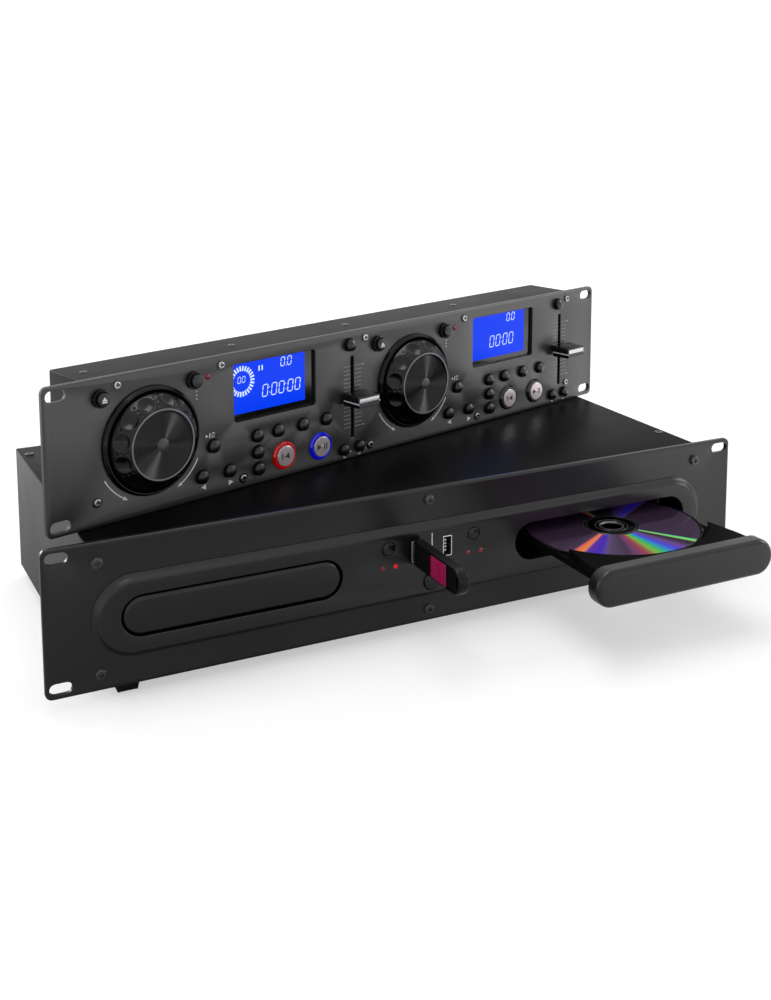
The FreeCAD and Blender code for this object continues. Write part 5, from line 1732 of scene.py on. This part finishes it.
# %% Stick sockets
SOCKET_FRONT, SOCKET_BACK = -PAD_RISE - 0.15, 12.5
CONTACTS, CONTACT_LOW, CONTACT_PITCH = 4, -3.3, 2.2


def brick(bm, x, y, z, edge=0.1):
    """A block between the limits (low, high) of each axis, its front edges rounded."""
    plate(bm, rounded(*between((*x, *z)), edge * 1.5, 3), [], y[0], y[1], edge)


def around(middle, half):
    """Limits (low, high) that lie the same way to both sides of a middle."""
    return middle - half, middle + half


shells, tongues, contacts = bmesh.new(), bmesh.new(), bmesh.new()
for side in (-1, 1):
    x = side * USB_X
    outside = rounded(x, USB_Z, 6.7, 13.5, 0.6, 4)
    inside = rounded(x, USB_Z, 5.3, 12.1, 0.3, 4)
    plate(shells, outside, [inside], SOCKET_FRONT, SOCKET_BACK, 0.25, 0.1)
    brick(tongues, (x - 1.6, x + 0.3), (-PAD_RISE + 2.0, 12.4), around(USB_Z, 4.6))
    brick(tongues, around(x, 2.6), (12.0, SOCKET_BACK), around(USB_Z, 6.0))
    for k in range(CONTACTS):
        z = USB_Z + CONTACT_LOW + CONTACT_PITCH * k
        brick(contacts, (x + 0.3, x + 0.5), (-PAD_RISE + 2.2, 10.0), around(z, 0.5), 0.05)
        brick(contacts, (x - 1.3, x - 0.1), (-PAD_RISE + 1.85, -PAD_RISE + 2.1), around(z, 0.4), 0.05)
add_piece("stick_socket_shells", shells, ON_PLAYER, "cap_silver", "player", "board", "player_board")
add_piece("stick_socket_tongues", tongues, ON_PLAYER, "display_mask", "player", "board", "player_board")
add_piece("stick_socket_contacts", contacts, ON_PLAYER, "cap_silver", "player", "board", "player_board")
print("stick sockets: 2, contacts in each:", CONTACTS)

# %% [markdown]
# ## The memory stick
# The stick is a moulded tag with a hole for a key ring and a coloured plate on each side, whose raised
# ribs give a thumb some grip. A bevelled block would have four equal corners. This outline is a
# function of its own, because it is square at the plug and round at the free end, and it is drawn in
# a frame of its own, in which the tag lies flat.

# %% Memory stick
STICK_X, STICK_Z = -10.8, 49.6
STICK_WIDTH, STICK_HEIGHT = 7.0, 16.2
STICK_SPAN = (6.5, 65.5)
STICK_ROUND, STICK_SQUARE = 7.2, 0.8
STICK_EDGE = 0.9
STICK_STEPS = 10
ON_STICK = (
    ON_PLAYER
    @ Matrix.Translation((STICK_X - STICK_WIDTH / 2, 0, 0))
    @ Matrix.Rotation(-math.pi / 2, 4, "Z")
)


def stick_shape(grow):
    """The stick from its side: square at the plug, round at the free end."""
    low, high = STICK_Z - STICK_HEIGHT / 2, STICK_Z + STICK_HEIGHT / 2
    plug_end, free_end = STICK_SPAN
    corners = [(free_end, high, STICK_ROUND, 0), (plug_end, high, STICK_SQUARE, 1),
               (plug_end, low, STICK_SQUARE, 2), (free_end, low, STICK_ROUND, 3)]
    points = []
    for x, z, radius, quarter in corners:
        middle_x = x - radius if quarter in (0, 3) else x + radius
        middle_z = z - radius if quarter in (0, 1) else z + radius
        reach = radius + grow
        for k in range(STICK_STEPS + 1):
            t = math.pi / 2 * (quarter + k / STICK_STEPS)
            points.append((middle_x + reach * math.cos(t), middle_z + reach * math.sin(t)))
    return points


KEY_HOLE = rounded(61.7, STICK_Z, 2.5, 8.8, 1.2, 6)
drawing = bmesh.new()
body_rows = edge_steps(STICK_EDGE, 0, -1, 5) + [(0, STICK_WIDTH - STICK_EDGE)]
for t in (0.4, 0.8, 1.2, math.pi / 2):
    inset, rest = STICK_EDGE * (1 - math.cos(t)), STICK_EDGE * (1 - math.sin(t))
    body_rows.append((-inset, STICK_WIDTH - rest))
outer = wall(drawing, stick_shape, body_rows)
slot = wall(drawing, KEY_HOLE, [(0.4, 0), (0.1, 0.15), (0, 0.5), (0, STICK_WIDTH - 0.5), (0.4, STICK_WIDTH)])
cap(drawing, [outer[0], slot[0]])
cap(drawing, [outer[-1], slot[-1]])
add_piece("stick_body", drawing, ON_STICK, "stick_black", "usb_stick", "stick_plastic", "usb_stick")

COVER_PLATE = rounded(39.5, STICK_Z, 19.0, 13.6, 0.8, 4)
COVER_RIBS = (33.5, 36.5, 45.0)
drawing = bmesh.new()
for front, back in ((-0.45, 0.2), (STICK_WIDTH - 0.2, STICK_WIDTH + 0.45)):
    plate(drawing, COVER_PLATE, [], front, back, 0.3)
for x in COVER_RIBS:
    brick(drawing, around(x, 0.45), (-0.8, -0.3), around(STICK_Z, 5.8), 0.2)
add_piece("stick_slider", drawing, ON_STICK, "stick_pink", "usb_stick", "stick_plastic", "usb_stick")

PLUG_SHAPE = rounded(-USB_X, USB_Z, 4.6, 12.0, 0.4, 4)
PLUG_HOLE = rounded(-USB_X, USB_Z, 3.9, 11.3, 0.2, 3)
drawing = bmesh.new()
plate(drawing, PLUG_SHAPE, [PLUG_HOLE], -6.6, 5.2, 0.1, 0.05)
add_piece("stick_plug", drawing, ON_PLAYER, "cap_silver", "usb_stick", "stick_plastic", "usb_stick")
drawing = bmesh.new()
brick(drawing, (-9.9, -8.9), (-6.4, 4.6), around(USB_Z, 5.6))
add_piece("stick_plug_tongue", drawing, ON_PLAYER, "display_mask", "usb_stick", "stick_plastic", "usb_stick")
print("memory stick drawn")

# %% [markdown]
# ## Circuit boards and rear sockets
# The boards are green laminate with black switches, one behind each button. At the back stand phono
# sockets with red and white cores, and the round link sockets for the two cords between the units.
# Each socket is turned from a profile that is measured from the rear wall.

# %% Boards and what stands on them
SWITCH_HALF, SWITCH_FRONT = 3.0, 10.5
BOARD_FRONT, BOARD_THICK = 14.0, 1.6
BOARD_DEPTH = (BOARD_FRONT, BOARD_FRONT + BOARD_THICK)
REAR_BOARD_Z = (9.2, 10.8)
PAN_FLOOR = CHASSIS_FLOOR + SHEET
REAR_BOARD_POSTS = [(x, y) for x in (-54.0, 54.0) for y in (152.0, 196.0)]


def switch(bm, x, z):
    """The small switch on a board that a button presses."""
    brick(bm, around(x, SWITCH_HALF), (SWITCH_FRONT, BOARD_FRONT), around(z, SWITCH_HALF), 0.2)


drawing = bmesh.new()
brick(drawing, around(0, 56.0), BOARD_DEPTH, (12.0, 74.0))
brick(drawing, around(0, 60.0), (146.0, 202.0), REAR_BOARD_Z)
add_piece("player_circuits", drawing, ON_PLAYER, "board_green", "player", "board", "player_board")
drawing = bmesh.new()
for side in (-1, 1):
    switch(drawing, side * SOURCE_BUTTON[0], SOURCE_BUTTON[1])
brick(drawing, around(POWER_BUTTON[0], 6), (12.2, BOARD_FRONT), around(POWER_BUTTON[1], 6), 0.2)
for x, y in REAR_BOARD_POSTS:
    brick(drawing, around(x, 3), around(y, 3), (PAN_FLOOR, REAR_BOARD_Z[0]), 0.2)
add_piece("player_switches", drawing, ON_PLAYER, "display_mask", "player", "board", "player_board")
drawing = bmesh.new()
brick(drawing, around(0, 26.0), (84.0, 130.0), (PAN_FLOOR, PAN_FLOOR + 40.0), 1.0)
add_piece("mains_transformer", drawing, ON_PLAYER, "dark_metal", "player", "board", "player_board")

# %% Control board
drawing = bmesh.new()
brick(drawing, around(0, 210.4), BOARD_DEPTH, (3.2, 84.9))
add_piece("control_circuit", drawing, ON_CONTROLLER, "board_green", "controller", "board", "control_board")
drawing = bmesh.new()
for shift in DECKS.values():
    for buttons in BUTTON_SETS.values():
        for x, z in buttons.values():
            switch(drawing, x + shift, z)
    brick(drawing, around(FADER_X + shift, 4.5), (7.5, BOARD_FRONT), FADER_SLOT, 0.2)
    brick(drawing, around(JOG_X + shift, 8), (9.5, BOARD_FRONT), around(JOG_Z, 8), 0.2)
switches = add_piece("control_switches", drawing, ON_CONTROLLER, "display_mask",
                     "controller", "board", "control_board")
print("switches and tracks on the control board:", len(switches.data.polygons), "faces")

# %% Rear sockets
SOCKET_Z = 50.0
PHONO = {-150.0: "phono_red", -134.0: "print_white", 60.0: "phono_red", 76.0: "print_white"}
PHONO_SHELL = [(2.9, 1.2), (2.9, 8.8), (3.1, 9.0), (3.9, 9.0), (4.2, 8.7),
               (4.2, 0), (0, 0), (0, 1.2), (2.9, 1.2)]
PHONO_CORE = [(0, 4.0), (1.6, 4.0), (1.6, 7.8), (2.8, 8.0), (2.85, 7.6), (2.85, 1.4), (0, 1.4)]
LINK_SHELL = [(5.4, -0.4), (5.4, 1.9), (5.6, 2.0), (6.3, 2.0), (LINK_R, 1.8), (LINK_R, -0.4), (5.4, -0.4)]
LINK_FACE_R, LINK_FRONT, LINK_REAR = 5.5, 0.9, -0.4
PIN_HOLES, PIN_RING_R, PIN_HOLE_R, PIN_HOLE_DEEP = 8, 3.6, 0.6, 0.8
PIN_START, PIN_ARC = 90, 300


def behind(profile, back):
    """A profile that is given from a rear wall, set at that wall."""
    return [(r, y + back) for r, y in profile]


def link_socket(metal, black, x, z, back):
    """A round socket with eight contact holes round a key, seen from behind."""
    lathe(metal, x, z, behind(LINK_SHELL, back), 48)
    holes = []
    for k in range(PIN_HOLES):
        t = math.radians(PIN_START + PIN_ARC * k / (PIN_HOLES - 1))
        holes.append(circle(x + PIN_RING_R * math.cos(t), z + PIN_RING_R * math.sin(t), PIN_HOLE_R, 12))
    front, rear = back + LINK_FRONT, back + LINK_REAR
    outer = wall(black, circle(x, z, LINK_FACE_R, 48), [(0, front), (0, rear)])
    inner = [wall(black, hole, [(0, front), (0, front - PIN_HOLE_DEEP)]) for hole in holes]
    cap(black, [outer[0]] + [rings[0] for rings in inner])
    for rings in inner:
        cap(black, [rings[-1]])
    cap(black, [outer[-1]])


metal, black = bmesh.new(), bmesh.new()
for x in (-108.0, 102.0):
    link_socket(metal, black, x, SOCKET_Z, CHASSIS_BACK)
for x in PHONO:
    lathe(metal, x, SOCKET_Z, behind(PHONO_SHELL, CHASSIS_BACK), 40)
add_piece("rear_metal", metal, ON_PLAYER, "cap_silver", "player", "board", "player_board")
add_piece("rear_socket_faces", black, ON_PLAYER, "display_mask", "player", "board", "player_board")
for number, (x, finish) in enumerate(PHONO.items(), 1):
    drawing = bmesh.new()
    lathe(drawing, x, SOCKET_Z, behind(PHONO_CORE, CHASSIS_BACK), 40)
    add_piece("phono_core_" + str(number), drawing, ON_PLAYER, finish, "player", "board", "player_board")
print("phono sockets:", len(PHONO))

# %% [markdown]
# ## The mains inlet
# The inlet is a moulded flange with a well that holds three flat pins. One outline serves the flange,
# the well and the neck behind the wall, each with its own rows of (grow, distance from the wall).

# %% Mains inlet
FLANGE_ROWS = [(0, 0), (0, 1.6), (-0.15, 1.9), (-0.4, 2.0)]
WELL_ROWS = [(0.2, 2.0), (0, 1.8), (0, -14.0)]
NECK_ROWS = [(0, 0), (0, -16.0)]
INLET_PINS = [(-5.5, 2.0), (0, -2.5), (5.5, 2.0)]
drawing = bmesh.new()
flange = wall(drawing, inlet_outline(28.0, 21.0), behind(FLANGE_ROWS, CHASSIS_BACK))
well = wall(drawing, inlet_outline(21.5, 14.5), behind(WELL_ROWS, CHASSIS_BACK))
cap(drawing, [flange[-1], well[0]])
cap(drawing, [well[-1]])
neck = wall(drawing, inlet_outline(25.5, 18.5), behind(NECK_ROWS, CHASSIS_BACK))
cap(drawing, [flange[0], neck[0]])
cap(drawing, [neck[-1]])
add_piece("mains_inlet", drawing, ON_PLAYER, "bezel_plastic", "player", "board", "player_board")
drawing = bmesh.new()
for x, z in INLET_PINS:
    pin_depth = (CHASSIS_BACK - 14.1, CHASSIS_BACK - 2.0)
    brick(drawing, around(INLET_X + x, 0.9), pin_depth, around(INLET_Z + z, 2.2), 0.2)
add_piece("mains_pins", drawing, ON_PLAYER, "cap_silver", "player", "board", "player_board")

# %% Link sockets of the controller
metal, black = bmesh.new(), bmesh.new()
for shift in DECKS.values():
    link_socket(metal, black, JOG_X + shift, LINK_Z, HOUSING_BACK)
add_piece("controller_rear_metal", metal, ON_CONTROLLER, "cap_silver",
          "controller", "board", "control_board")
add_piece("controller_rear_faces", black, ON_CONTROLLER, "display_mask",
          "controller", "board", "control_board")
print("link sockets:", 2 * len(DECKS))
